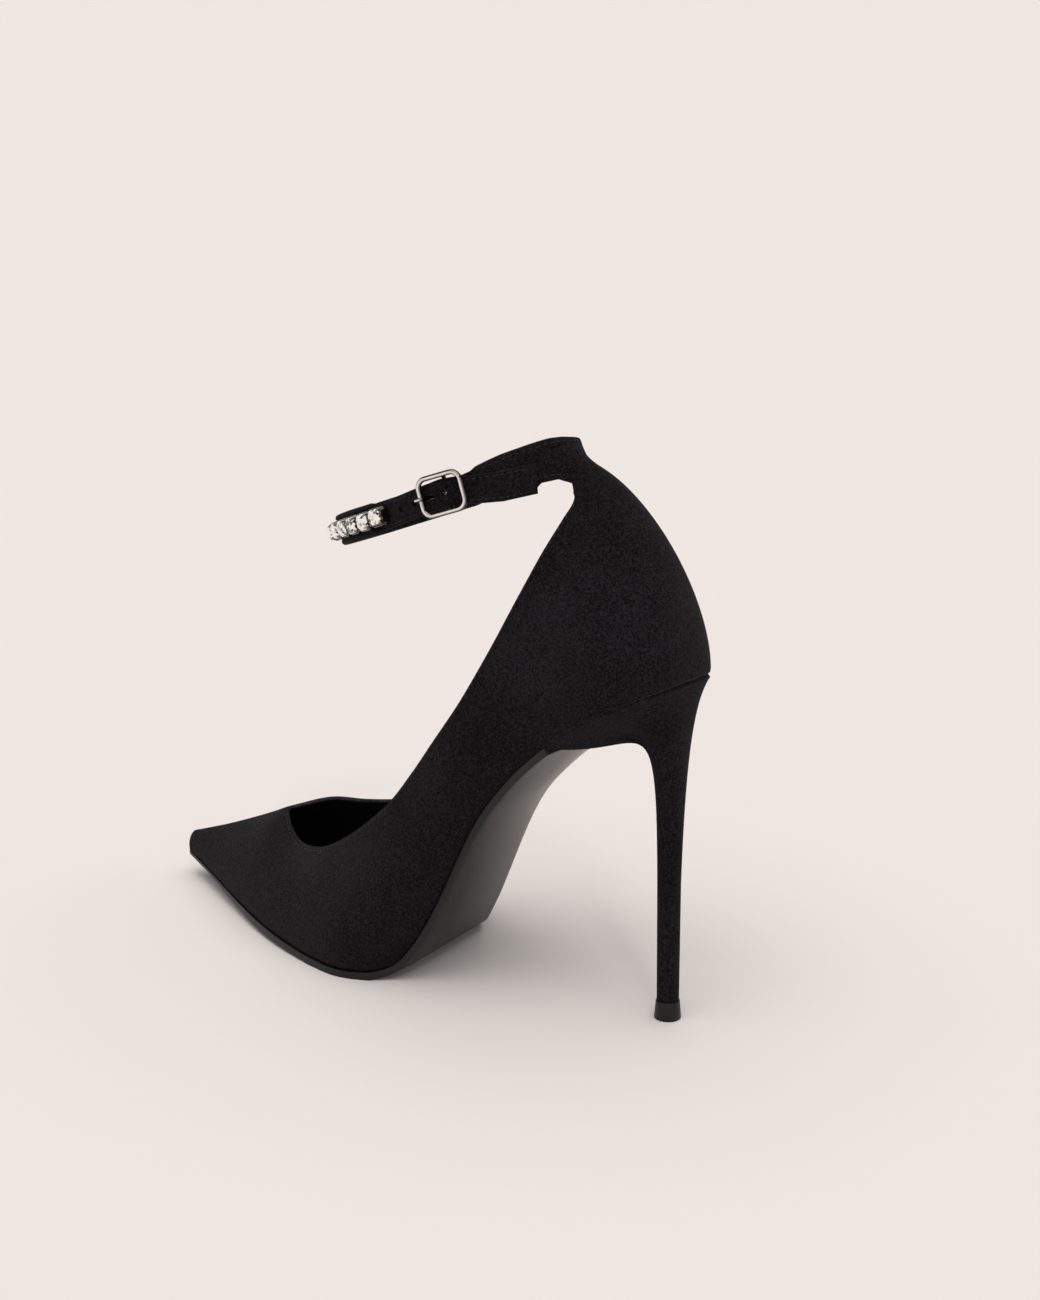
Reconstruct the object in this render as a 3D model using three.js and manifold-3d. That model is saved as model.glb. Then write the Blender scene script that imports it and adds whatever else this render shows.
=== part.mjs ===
// Ankle strap pump: a pointed stiletto for the left foot, with a row of crystals on its strap.
// Millimetres. X runs to the toe, Y to the outer side, Z up, from the middle of the heel cap on the floor.
import * as THREE from "three";
import { mergeVertices } from "three/addons/utils/BufferGeometryUtils.js";
import Module from "manifold-3d";

const wasm = await Module();
wasm.setup();

// Driving sizes of the last: heel cap to toe tip, floor to the back of the seat, half of the ball
const shoeLength = 220;
const seatHeight = 114.5;
const ballHalf = 39;
const ballSlant = 0.1;
const slantFrom = 0.64;

// Thicknesses and clearances
const gap = 0.3;
const wall = 1.6;
const soleThick = 2.4;
const treadFlat = 0.35;
const soleEdge = 0.4;
const toeThin = 0.45;
const insoleThick = 1.8;
const waistSag = 1.5;

// Heel
const capRadius = 4.4;
const capTopRadius = 3.9;
const capHeight = 6.2;
const stemRadius = 3.6;
const neckRadius = 3.8;
const neckHeight = 46;
const neckAt = 0.3;
const lipThick = 0.9;
const heelTuck = 1;

// Ankle loop: an ellipse in a plane that falls to the toe, bowed up a little at its two sides
const loopAt = 83.4;
const loopHeight = 162.4;
const loopLong = 46.8;
const loopWide = 26;
const loopPitch = 0.34;
const loopBow = 0.035;
const tabTurn = 13;
const strapThick = 1.8;
const strapWidth = 9;
const frontWidth = 9.7;
const tailTurn = 29;
const tailSlant = 1.5;
const strapEndTurn = 314;
const holePitch = 6.1;
const holeRadius = 1.1;
const holeCount = 5;

// Buckle
const buckleTurn = 72.4;
const buckleLength = 17;
const wireRadius = 0.85;
const barRadius = 0.7;
const chapeThick = 0.9;
const chapeWidth = 8.6;
const prongRadius = 0.6;
const slotClear = 0.2;
const holeStretch = 1.8;

// Crystals, one row along the front of the strap
const stoneRadius = 2.6;
const cupWall = 0.25;
const cupClear = 0.2;
const cupHeight = 3;
const stoneHeight = 3.9;
const stonePitch = 6.2;
const stoneCount = 16;

// Materials
const finish = (color, roughness, metalness) => new THREE.MeshStandardMaterial({ color, roughness, metalness });
const suede = finish(0x0b0a0c, 0.95, 0);
const soleGrey = finish(0x2c3237, 0.4, 0);
const lining = finish(0x0d0d0f, 0.6, 0);
const silver = finish(0x9a9a98, 0.25, 1);
const crystal = finish(0xe8ecee, 0.05, 0.2);

const named = (columns, rows) => rows.map((row) => Object.fromEntries(columns.map((name, i) => [name, row[i]])));
const mix = (a, b, share) => a + (b - a) * share;
const radians = THREE.MathUtils.degToRad;

// Side profile of the foot bed, in shares of the shoe length and the seat height
const bedRows = named(["at", "up"], [
  [-0.06, 1.03],
  [-0.038, 1],
  [0.004, 0.961],
  [0.033, 0.934],
  [0.071, 0.893],
  [0.11, 0.847],
  [0.138, 0.806],
  [0.172, 0.75],
  [0.2, 0.698],
  [0.23, 0.632],
  [0.256, 0.568],
  [0.276, 0.507],
  [0.299, 0.424],
  [0.32, 0.34],
  [0.344, 0.244],
  [0.37, 0.15],
  [0.395, 0.078],
  [0.412, 0.046],
  [0.432, 0.029],
  [0.46, 0.0245],
  [0.5, 0.0245],
  [0.56, 0.0265],
  [0.64, 0.034],
  [0.73, 0.043],
  [0.82, 0.055],
  [0.92, 0.072],
  [1.01, 0.09],
  [1.1, 0.11],
]);
const bedCurve = new THREE.CatmullRomCurve3(
  bedRows.map((row) => new THREE.Vector3(row.at * shoeLength, 0, row.up * seatHeight)), false, "centripetal");
const bedPoints = bedCurve.getPoints(bedRows.length * 12);

// The ball lies at a slant: toward the inner side the bed comes down to the floor further forward
function bedHeight(x, y) {
  const waistOn = THREE.MathUtils.smoothstep(x, 0.14 * shoeLength, 0.3 * shoeLength);
  const along = x - ballSlant * Math.max(0, slantFrom * ballHalf - y) * waistOn;
  const next = Math.max(1, bedPoints.findIndex((point) => point.x > along));
  const a = bedPoints[next - 1];
  const b = bedPoints[next];
  const height = mix(a.z, b.z, (along - a.x) / (b.x - a.x));
  return Math.max(height, soleThick + gap);
}

// Move along the bed's normal: up into the shoe, or down when the distance is negative
function offBed(point, distance) {
  const { x, y } = point;
  const slopeX = (bedHeight(x + 1, y) - bedHeight(x - 1, y)) / 2;
  const slopeY = (bedHeight(x, y + 1) - bedHeight(x, y - 1)) / 2;
  return point.addScaledVector(new THREE.Vector3(-slopeX, -slopeY, 1).normalize(), distance);
}

// Sections from the toe tip round to the middle of the back. at, outer and inner give the foot edge, and
// top, topOuter, topInner, upOuter and upInner the edge above it: the ridge of the vamp, then the topline.
// swell pushes the wall out, rise is where it does so, and lean, side and drop aim it at its top edge.
const sections = named(
  ["at", "outer", "inner", "top", "topOuter", "topInner", "upOuter", "upInner", "swell", "rise", "lean", "side", "drop"],
  [
    [1.002, -0.115, -0.115, 0.981, -0.115, -0.115, 0.152, 0.152, 0.02, 0.5, 0.016, 0, 0],
    [0.994, -0.05, -0.18, 0.974, -0.113, -0.113, 0.157, 0.157, 0.02, 0.5, 0.011, 0.03, 0],
    [0.968, 0.02, -0.25, 0.957, -0.105, -0.105, 0.17, 0.17, 0.02, 0.5, 0.002, 0.07, 0],
    [0.918, 0.144, -0.36, 0.914, -0.092, -0.092, 0.2, 0.2, 0.03, 0.5, 0, 0.13, 0],
    [0.855, 0.313, -0.5, 0.855, -0.08, -0.08, 0.245, 0.245, 0.04, 0.5, 0, 0.2, 0],
    [0.79, 0.487, -0.63, 0.8, -0.06, -0.06, 0.29, 0.29, 0.05, 0.5, 0, 0.27, 0],
    [0.736, 0.626, -0.72, 0.75, -0.01, -0.01, 0.335, 0.335, 0.06, 0.5, 0, 0.28, 0.005],
    [0.69, 0.733, -0.79, 0.697, 0.269, -0.265, 0.312, 0.365, 0.07, 0.5, 0, 0.2, 0.026],
    [0.65, 0.815, -0.846, 0.645, 0.456, -0.413, 0.303, 0.365, 0.08, 0.48, 0, 0.15, 0.045],
    [0.6, 0.897, -0.908, 0.58, 0.595, -0.581, 0.33, 0.378, 0.1, 0.42, 0, 0.13, 0.075],
    [0.545, 0.969, -0.959, 0.527, 0.677, -0.7, 0.383, 0.415, 0.12, 0.38, 0, 0.1, 0.12],
    [0.491, 1.005, -0.93, 0.459, 0.795, -0.81, 0.472, 0.498, 0.14, 0.35, 0, 0.06, 0.16],
    [0.448, 0.93, -0.7, 0.4, 0.859, -0.86, 0.568, 0.594, 0.18, 0.33, 0, 0.04, 0.19],
    [0.414, 0.785, -0.52, 0.355, 0.872, -0.85, 0.672, 0.694, 0.22, 0.3, 0.01, 0.04, 0.21],
    [0.377, 0.708, -0.43, 0.314, 0.872, -0.833, 0.779, 0.795, 0.22, 0.28, 0.015, 0.04, 0.21],
    [0.327, 0.651, -0.36, 0.27, 0.831, -0.8, 0.904, 0.91, 0.2, 0.3, 0.015, 0.06, 0.2],
    [0.264, 0.641, -0.34, 0.227, 0.751, -0.73, 1.057, 1.057, 0.16, 0.33, 0.01, 0.08, 0.18],
    [0.2, 0.641, -0.38, 0.189, 0.674, -0.66, 1.205, 1.205, 0.11, 0.36, 0, 0.1, 0.17],
    [0.141, 0.641, -0.48, 0.157, 0.577, -0.57, 1.336, 1.336, 0.07, 0.38, -0.01, 0.13, 0.16],
    [0.082, 0.667, -0.58, 0.142, 0.418, -0.418, 1.422, 1.422, 0.03, 0.4, -0.025, 0.215, 0.148],
    [0.027, 0.625, -0.56, 0.141, 0.272, -0.272, 1.47, 1.47, 0.02, 0.42, -0.044, 0.28, 0.118],
    [-0.011, 0.49, -0.44, 0, 0, 0, 0, 0, 0.01, 0.43, -0.045, 0.195, 0.098],
    [-0.032, 0.265, -0.245, 0, 0, 0, 0, 0, 0, 0.42, -0.077, 0.09, 0.072],
    [-0.0385, 0, 0, 0, 0, 0, 0, 0, 0, 0.41, -0.081, 0, 0.061],
  ]);
const throatRow = 6;
const lipRow = 18;
const tabRow = 21;
const backRow = 23;
const ringRows = 2 * backRow;

// Band of the upper round the ankle, by turn from the back: its lower and upper edges on the outer and the
// inner side, all across the strap, and how far its upper and lower edges stand out from the loop
const bandRows = named(["turn", "lowOuter", "lowInner", "highOuter", "highInner", "outHigh", "outLow"], [
  [0, -3, -3, 7.9, 7.9, 1.8, 8.2],
  [6, -4, -4, 8.4, 7.5, 1.8, 7.8],
  [13, -6.5, -6, 8.7, 7, 1.7, 4.9],
  [15, -5.6, -4.6, 8.8, 6.9, 1.5, 3.8],
  [18, -4.4, -3.6, 8.8, 6.8, 1.2, 2.8],
  [22, -4.4, -3.2, 8.7, 6.7, 0.7, 1.5],
  [27, -4.3, -3.2, 8.5, 6.7, 0.2, 0.5],
  [29.5, -5.2, -3.4, 8.4, 6.7, 0, 0.1],
  [31, -6.7, -3.6, 8.3, 6.6, 0, 0],
  [38, -6.9, -4.2, 7.9, 6.4, 0, 0],
  [44, -6.9, -4.6, 7.5, 6.2, 0, 0],
  [50, -6.5, -4.6, 6.8, 5.9, 0, 0],
  [57, -6, -4.4, 5.8, 5.6, 0, 0],
  [60, -5, -4.2, 4.7, 5.2, 0, 0],
  [64, -4.4, -3.9, 4.3, 5, 0, 0],
  [72, -4.3, -3.6, 4.3, 4.9, 0, 0],
]);

function readRow(rows, key, at, column) {
  const last = rows.length - 1;
  const next = rows.findIndex((row) => row[key] >= at);
  if (next === 0 || next === -1) {
    return rows[next === 0 ? 0 : last][column];
  }
  const a = rows[next - 1];
  const b = rows[next];
  return mix(a[column], b[column], (at - a[key]) / (b[key] - a[key]));
}

// Place on the ankle loop: turn from the back to the outer side, then out from it and up across its width
function loopNormal(turn) {
  const angle = radians(turn);
  return new THREE.Vector2(-Math.cos(angle) / loopLong, Math.sin(angle) / loopWide).normalize();
}

function loopPoint(turn, out, up) {
  const angle = radians(turn);
  const normal = loopNormal(turn);
  const along = -loopLong * Math.cos(angle) + normal.x * out;
  const across = loopWide * Math.sin(angle) + normal.y * out;
  const pitch = Math.atan(loopPitch);
  const x = loopAt + along * Math.cos(pitch) + up * Math.sin(pitch);
  const z = loopHeight - along * Math.sin(pitch) + up * Math.cos(pitch) + loopBow * across * across / loopWide;
  return new THREE.Vector3(x, across, z);
}

// Turn reached after a walk along the loop
function turnAfter(start, distance) {
  const steps = 40;
  let turn = start;
  for (let step = 0; step < steps; step += 1) {
    const angle = radians(turn);
    const speed = Math.hypot(loopLong * Math.sin(angle), loopWide * Math.cos(angle));
    turn += THREE.MathUtils.radToDeg(distance / steps / speed);
  }
  return turn;
}

// Frame on the loop: x back along the strap, y up its width, z out
function loopFrame(turn, out, up) {
  const place = loopPoint(turn, out, up);
  const rise = loopPoint(turn, out, up + 1).sub(place).normalize();
  const normal = loopPoint(turn, out + 1, up).sub(place).normalize();
  const along = rise.clone().cross(normal).normalize();
  normal.crossVectors(along, rise);
  return new THREE.Matrix4().makeBasis(along, rise, normal).setPosition(place);
}

const bandPoint = (turn, share) => {
  const at = Math.abs(turn);
  const side = turn > 0 ? "Outer" : "Inner";
  const read = (column) => readRow(bandRows, "turn", at, column);
  const up = mix(read(`low${side}`), read(`high${side}`), share);
  return loopPoint(turn, mix(read("outHigh"), read("outLow"), (1 - share) ** 2), up);
};

// Control points of the wall round the whole foot edge: 0 is the toe tip, backRow the middle of the back
const ring = Array.from({ length: ringRows }, (_, k) => {
  const inside = k > backRow;
  const row = sections[inside ? ringRows - k : k];
  const hand = inside ? -1 : 1;
  const x = row.at * shoeLength;
  const y = (inside ? row.inner : row.outer) * ballHalf;
  const foot = new THREE.Vector3(x, y, bedHeight(x, y));
  const up = inside ? row.upInner : row.upOuter;
  const top = new THREE.Vector3(
    row.top * shoeLength, (inside ? row.topInner : row.topOuter) * ballHalf, up * seatHeight);
  if ((inside ? ringRows - k : k) >= tabRow) {
    const turn = tabTurn * (backRow - (inside ? ringRows - k : k)) / (backRow - tabRow);
    top.copy(bandPoint(hand * turn, 0));
  }
  return { row, hand, foot, top };
});
const footCurve = new THREE.CatmullRomCurve3(ring.map((item) => item.foot), true, "centripetal");

// Level direction away from the foot edge
function outward(t) {
  const tangent = footCurve.getTangent(t / ringRows);
  return new THREE.Vector3(tangent.y, -tangent.x, 0).normalize();
}

ring.forEach((item, k) => {
  const { row, hand, foot, top } = item;
  const height = top.z - foot.z;
  item.belly = foot.clone().addScaledVector(outward(k), row.swell * ballHalf);
  item.belly.z += row.rise * height;
  item.crown = top.clone();
  item.crown.x += row.lean * shoeLength;
  item.crown.y += hand * row.side * ballHalf;
  item.crown.z -= row.drop * seatHeight;
});
const bellyCurve = new THREE.CatmullRomCurve3(ring.map((item) => item.belly), true, "centripetal");
const crownCurve = new THREE.CatmullRomCurve3(ring.map((item) => item.crown), true, "centripetal");
const topOf = (from, to) => new THREE.CatmullRomCurve3(
  Array.from({ length: to - from + 1 }, (_, i) => ring[(from + i) % ringRows].top), false, "centripetal");
const ridgeCurve = topOf(0, throatRow);
const outerTopline = topOf(throatRow, tabRow);
const innerTopline = topOf(ringRows - tabRow, ringRows - throatRow);

function topPoint(t) {
  const row = Math.min(t, ringRows - t);
  const hand = t > backRow ? -1 : 1;
  if (row <= throatRow) {
    return ridgeCurve.getPoint(row / throatRow);
  }
  if (row >= tabRow) {
    return bandPoint(hand * tabTurn * (backRow - row) / (backRow - tabRow), 0);
  }
  const share = (row - throatRow) / (tabRow - throatRow);
  return hand > 0 ? outerTopline.getPoint(share) : innerTopline.getPoint(1 - share);
}

const footPoint = (t) => {
  const point = footCurve.getPoint((t % ringRows) / ringRows);
  return point.setZ(bedHeight(point.x, point.y));
};

function wallPoint(t, share) {
  const at = (t % ringRows) / ringRows;
  const curve = new THREE.CubicBezierCurve3(
    footPoint(t), bellyCurve.getPoint(at), crownCurve.getPoint(at), topPoint(t % ringRows));
  return curve.getPoint(share);
}

// Mesh helpers
function geometryOf(points, triangles) {
  const geometry = new THREE.BufferGeometry();
  geometry.setAttribute("position", new THREE.Float32BufferAttribute(points.flatMap((p) => p.toArray()), 3));
  geometry.setIndex(triangles.flat());
  return geometry;
}

function tidy(geometry) {
  const bare = geometry.clone();
  bare.deleteAttribute("normal");
  bare.deleteAttribute("uv");
  const merged = mergeVertices(bare, 1e-4);
  const index = merged.getIndex().array;
  const kept = [];
  for (let i = 0; i < index.length; i += 3) {
    const [a, b, c] = [index[i], index[i + 1], index[i + 2]];
    if (a !== b && b !== c && a !== c) {
      kept.push(a, b, c);
    }
  }
  merged.setIndex(kept);
  return merged;
}

// Open sheet from grids of points that share their edges
function sheetOf(grids) {
  const points = [];
  const triangles = [];
  for (const grid of grids) {
    const start = points.length;
    const width = grid[0].length;
    grid.forEach((line) => points.push(...line));
    for (let i = 0; i + 1 < grid.length; i += 1) {
      for (let j = 0; j + 1 < width; j += 1) {
        const a = start + i * width + j;
        const b = a + width;
        triangles.push([a, b, b + 1], [a, b + 1, a + 1]);
      }
    }
  }
  return tidy(geometryOf(points, triangles));
}

// Closed solid from an open sheet: its back lies one thickness behind it, and its free edges get a rim
function thicken(sheet, thickness, settle = (point) => point) {
  sheet.computeVertexNormals();
  const position = sheet.getAttribute("position");
  const normal = sheet.getAttribute("normal");
  const front = [];
  const back = [];
  for (let i = 0; i < position.count; i += 1) {
    const point = new THREE.Vector3().fromBufferAttribute(position, i);
    const away = new THREE.Vector3().fromBufferAttribute(normal, i);
    front.push(point);
    back.push(settle(point.clone().addScaledVector(away, -thickness), point));
  }
  const index = sheet.getIndex().array;
  const triangles = [];
  const edges = new Map();
  for (let i = 0; i < index.length; i += 3) {
    const corners = [index[i], index[i + 1], index[i + 2]];
    triangles.push(corners, corners.map((corner) => corner + position.count).reverse());
    corners.forEach((corner, k) => edges.set(`${corner},${corners[(k + 1) % 3]}`, [corner, corners[(k + 1) % 3]]));
  }
  for (const [a, b] of edges.values()) {
    if (!edges.has(`${b},${a}`)) {
      triangles.push([b, a, a + position.count], [b, a + position.count, b + position.count]);
    }
  }
  return geometryOf([...front, ...back], triangles);
}

// Closed solid through rings of points, with flat or pointed ends, or joined end to start
function loft(rings, joined = false) {
  const count = rings[0].length;
  const points = rings.flat();
  const triangles = [];
  const links = joined ? rings.length : rings.length - 1;
  for (let i = 0; i < links; i += 1) {
    for (let j = 0; j < count; j += 1) {
      const a = i * count + j;
      const b = i * count + (j + 1) % count;
      const c = ((i + 1) % rings.length) * count + j;
      const d = ((i + 1) % rings.length) * count + (j + 1) % count;
      triangles.push([a, b, d], [a, d, c]);
    }
  }
  if (!joined) {
    for (const [i, flip] of [[0, true], [rings.length - 1, false]]) {
      const middle = rings[i].reduce((sum, point) => sum.add(point), new THREE.Vector3()).divideScalar(count);
      points.push(middle);
      for (let j = 0; j < count; j += 1) {
        const a = i * count + j;
        const b = i * count + (j + 1) % count;
        triangles.push(flip ? [b, a, points.length - 1] : [a, b, points.length - 1]);
      }
    }
  }
  return tidy(geometryOf(points, triangles));
}

// Round wire along points; its section turns about one fixed axis
function wire(path, radius, axis, joined = false) {
  const sides = 8;
  const last = path.length - 1;
  const rings = path.map((point, i) => {
    const before = joined ? path[(i + last) % path.length] : path[Math.max(i - 1, 0)];
    const after = joined ? path[(i + 1) % path.length] : path[Math.min(i + 1, last)];
    const tangent = after.clone().sub(before).normalize();
    const across = axis.clone().cross(tangent).normalize();
    return Array.from({ length: sides }, (_, k) => {
      const angle = 2 * Math.PI * (k + 0.5) / sides;
      return point.clone()
        .addScaledVector(across, radius * Math.cos(angle))
        .addScaledVector(axis, radius * Math.sin(angle));
    });
  });
  return loft(rings, joined);
}

function toSolid(geometry) {
  const bare = tidy(geometry);
  const vertProperties = new Float32Array(bare.getAttribute("position").array);
  const triVerts = new Uint32Array(bare.getIndex().array);
  return new wasm.Manifold(new wasm.Mesh({ numProp: 3, vertProperties, triVerts }));
}

function fromSolid(solid) {
  const mesh = solid.getMesh();
  const geometry = new THREE.BufferGeometry();
  geometry.setAttribute("position", new THREE.Float32BufferAttribute(mesh.vertProperties, 3));
  geometry.setIndex(Array.from(mesh.triVerts));
  return geometry;
}

const part = new THREE.Group();

function addPiece(name, geometry, material, frame = new THREE.Matrix4()) {
  const mesh = new THREE.Mesh(geometry, material);
  mesh.name = name;
  mesh.applyMatrix4(frame);
  part.add(mesh);
}

// Upper: wall from the foot edge to the vamp ridge and topline, tab at the back, band with its chape
function makeUpper() {
  const perRow = 2;
  const wallSteps = 8;
  const bandSteps = 3;
  const columns = Array.from({ length: ringRows * perRow + 1 }, (_, i) =>
    Array.from({ length: wallSteps + 1 }, (__, j) => wallPoint(i / perRow, j / wallSteps)));
  const tabStep = tabTurn / ((backRow - tabRow) * perRow);
  const tabTurns = Array.from({ length: (backRow - tabRow) * perRow + 1 }, (_, i) => tabTurn - i * tabStep);
  const chapeOuter = barRadius + gap + chapeThick;
  const endTurn = turnAfter(buckleTurn, -(barRadius + gap + chapeThick / 2));
  const wingTurns = bandRows.map((row) => row.turn).filter((turn) => turn > tabTurn && turn < endTurn).reverse();
  const half = [endTurn, ...wingTurns, ...tabTurns];
  const turns = [...half, ...half.slice(0, -1).reverse().map((turn) => -turn)];
  const band = turns.map((turn) =>
    Array.from({ length: bandSteps + 1 }, (_, j) => bandPoint(turn, j / bandSteps)));
  const settle = (inner, outer) =>
    Math.abs(outer.z - bedHeight(outer.x, outer.y)) < 1e-3 ? inner.setZ(outer.z) : inner;
  const shell = toSolid(thicken(sheetOf([columns, band]), wall, settle));

  const barFrame = loopFrame(buckleTurn, -wall / 2, 0);
  const chapeRing = (radius) => Array.from({ length: 16 }, (_, k) => {
    const angle = 2 * Math.PI * k / 16;
    return new THREE.Vector2(radius * Math.cos(angle), radius * Math.sin(angle));
  });
  const outline = new THREE.Shape(chapeRing(chapeOuter));
  outline.holes.push(new THREE.Path(chapeRing(barRadius + gap)));
  const loop = new THREE.ExtrudeGeometry(outline, { depth: chapeWidth, bevelEnabled: false });
  loop.translate(0, 0, -chapeWidth / 2);
  loop.rotateX(Math.PI / 2);
  loop.applyMatrix4(barFrame);
  const slot = new THREE.BoxGeometry(3 * chapeOuter, 2 * (prongRadius + gap + slotClear), 3 * chapeOuter);
  slot.translate(-chapeOuter / 2, 0, 0);
  slot.applyMatrix4(barFrame);
  return fromSolid(shell.add(toSolid(loop)).subtract(toSolid(slot)));
}
addPiece("upper", makeUpper(), suede);

// Foot bed between the two foot edges; the waist sags in its middle
function bedPoint(t, share, inset, rise) {
  const a = footPoint(t).addScaledVector(outward(t), -inset);
  const b = footPoint(ringRows - t).addScaledVector(outward(ringRows - t), -inset);
  const point = a.lerp(b, share);
  const waist = THREE.MathUtils.smoothstep(point.x, 0.14 * shoeLength, 0.24 * shoeLength)
    * (1 - THREE.MathUtils.smoothstep(point.x, 0.34 * shoeLength, 0.43 * shoeLength));
  point.setZ(bedHeight(point.x, point.y));
  return offBed(point, rise - waistSag * waist * 4 * share * (1 - share));
}

const bedAcross = 6;

// Outsole from the toe to the front lip of the heel; under the ball its tread is flat on the floor, and to
// the toe it gets thinner and its edge is flush with the upper
function makeOutsole() {
  const perRow = 2;
  const lipClear = 0.04;
  const { smoothstep } = THREE.MathUtils;
  const rows = Array.from({ length: lipRow * perRow + 1 }, (_, i) => {
    const t = Math.min(i / perRow, lipRow - lipClear);
    const inset = -soleEdge * smoothstep(t, throatRow - 3, throatRow + 4);
    return Array.from({ length: bedAcross + 1 }, (__, j) => bedPoint(t, j / bedAcross, inset, -gap));
  });
  const settle = (under, front) => {
    const share = mix(1, toeThin, smoothstep(front.x, 0.68 * shoeLength, 0.9 * shoeLength));
    return under.z < treadFlat ? under.setZ(0) : under.lerpVectors(front, under, share);
  };
  return thicken(sheetOf([rows]), soleThick, settle);
}
addPiece("outsole", makeOutsole(), soleGrey);

// Insole inside the wall, from the toe to the back of the seat
function makeInsole() {
  const inset = wall + 3 * gap;
  const perRow = 2;
  const across = 4;
  const rows = Array.from({ length: backRow * perRow + 1 }, (_, i) =>
    Array.from({ length: across + 1 }, (__, j) => bedPoint(i / perRow, j / across, inset, insoleThick)));
  return thicken(sheetOf([rows]), insoleThick);
}
addPiece("insole", makeInsole(), lining);

// Heel: the seat's outline, tucked in at the back, runs down to a slim stem; the front lip draws in first
// and then drops
const flareRows = named(["turn", "pullHigh", "liftHigh", "pullLow", "liftLow"], [
  [0, 0.9, -0.035, 0.97, 0.585],
  [55, 0.9, -0.035, 0.95, 0.585],
  [80, 0.6, -0.05, 0.98, 0.58],
  [110, 0.6, -0.08, 0.96, 0.48],
  [135, 0.7, -0.06, 0.92, 0.32],
  [180, 0.85, -0.06, 0.92, 0.15],
]);

function makeHeel() {
  const seatRows = Array.from({ length: backRow - lipRow + 1 }, (_, i) => {
    const inset = heelTuck * THREE.MathUtils.smoothstep(lipRow + i, backRow - 3, backRow);
    return Array.from({ length: bedAcross + 1 }, (__, j) => bedPoint(lipRow + i, j / bedAcross, inset, -gap));
  });
  const front = seatRows[0];
  const innerSide = seatRows.slice(1, -1).map((row) => row[bedAcross]);
  const back = seatRows[seatRows.length - 1][0];
  const outerSide = seatRows.slice(1, -1).map((row) => row[0]).reverse();
  const rim = [...front, ...innerSide, back, ...outerSide];
  const middle = new THREE.Vector3(0.055 * shoeLength, 0, 0);
  const flareSteps = 9;
  const columns = rim.map((edge) => {
    const angle = Math.atan2(edge.y, edge.x - middle.x);
    const spread = Math.abs(THREE.MathUtils.radToDeg(angle));
    const read = (column) => readRow(flareRows, "turn", spread, column);
    const around = new THREE.Vector3(Math.cos(angle), Math.sin(angle), 0);
    const neck = around.clone().multiplyScalar(neckRadius).add(new THREE.Vector3(neckAt, 0, neckHeight));
    const foot = around.clone().multiplyScalar(stemRadius).setZ(capHeight + gap);
    const start = offBed(edge.clone(), front.includes(edge) ? -lipThick : 0);
    const high = start.clone().lerp(neck, read("pullHigh")).setZ(start.z + read("liftHigh") * seatHeight);
    const low = start.clone().lerp(neck, read("pullLow")).setZ(neck.z + read("liftLow") * seatHeight);
    const flare = new THREE.CubicBezierCurve3(start, high, low, neck).getPoints(flareSteps);
    return [edge, ...flare, foot];
  });
  const count = rim.length;
  const points = columns[0].flatMap((_, i) => columns.map((column) => column[i]));
  const triangles = [];
  for (let i = 0; i + 1 < columns[0].length; i += 1) {
    for (let j = 0; j < count; j += 1) {
      const a = i * count + j;
      const b = i * count + (j + 1) % count;
      triangles.push([a, b, b + count], [a, b + count, a + count]);
    }
  }
  const lowest = points.length - count;
  points.push(new THREE.Vector3(0, 0, capHeight + gap));
  for (let j = 0; j < count; j += 1) {
    triangles.push([lowest + j, lowest + (j + 1) % count, points.length - 1]);
  }
  const seat = sheetOf([seatRows]);
  const seatStart = points.length;
  const position = seat.getAttribute("position");
  for (let i = 0; i < position.count; i += 1) {
    points.push(new THREE.Vector3().fromBufferAttribute(position, i));
  }
  const index = seat.getIndex().array;
  for (let i = 0; i < index.length; i += 3) {
    triangles.push([index[i], index[i + 1], index[i + 2]].map((corner) => corner + seatStart));
  }
  return tidy(geometryOf(points, triangles));
}
addPiece("heel", makeHeel(), suede);

const capProfile = [[0, 0], [capRadius, 0], [capTopRadius, capHeight], [0, capHeight]];
const capShape = new THREE.LatheGeometry(capProfile.map(([r, z]) => new THREE.Vector2(r, z)), 20);
addPiece("heel_cap", capShape.rotateX(Math.PI / 2), soleGrey);

// Ankle strap: tail on the outer wing, through the buckle, round the front, sewn over the inner wing
const strapRows = named(["turn", "up", "width"], [
  [30, -2.6, 0.6],
  [48, -2.4, 0.6],
  [60, -1.2, 0.2],
  [66, -0.3, 0],
  [72, 0, 0],
  [80, -0.4, 0],
  [95, -1.5, 0.2],
  [112, -1.9, 1],
  [150, -1.3, 1],
  [180, -0.8, 1],
  [248, -0.2, 1],
  [265, 0.4, 0.2],
  [290, 0.8, 0],
  [314, 0, 0],
]);
const strapBump = chapeThick + barRadius + gap - wall / 2;
const bumpReach = 5.6;

function strapOut(turn) {
  const angle = radians((turn + buckleTurn) / 2);
  const speed = Math.hypot(loopLong * Math.sin(angle), loopWide * Math.cos(angle));
  const distance = Math.abs(radians(turn - buckleTurn) * speed);
  const bump = distance < bumpReach ? 0.5 + 0.5 * Math.cos(Math.PI * distance / bumpReach) : 0;
  return gap + strapThick / 2 + strapBump * bump;
}

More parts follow.
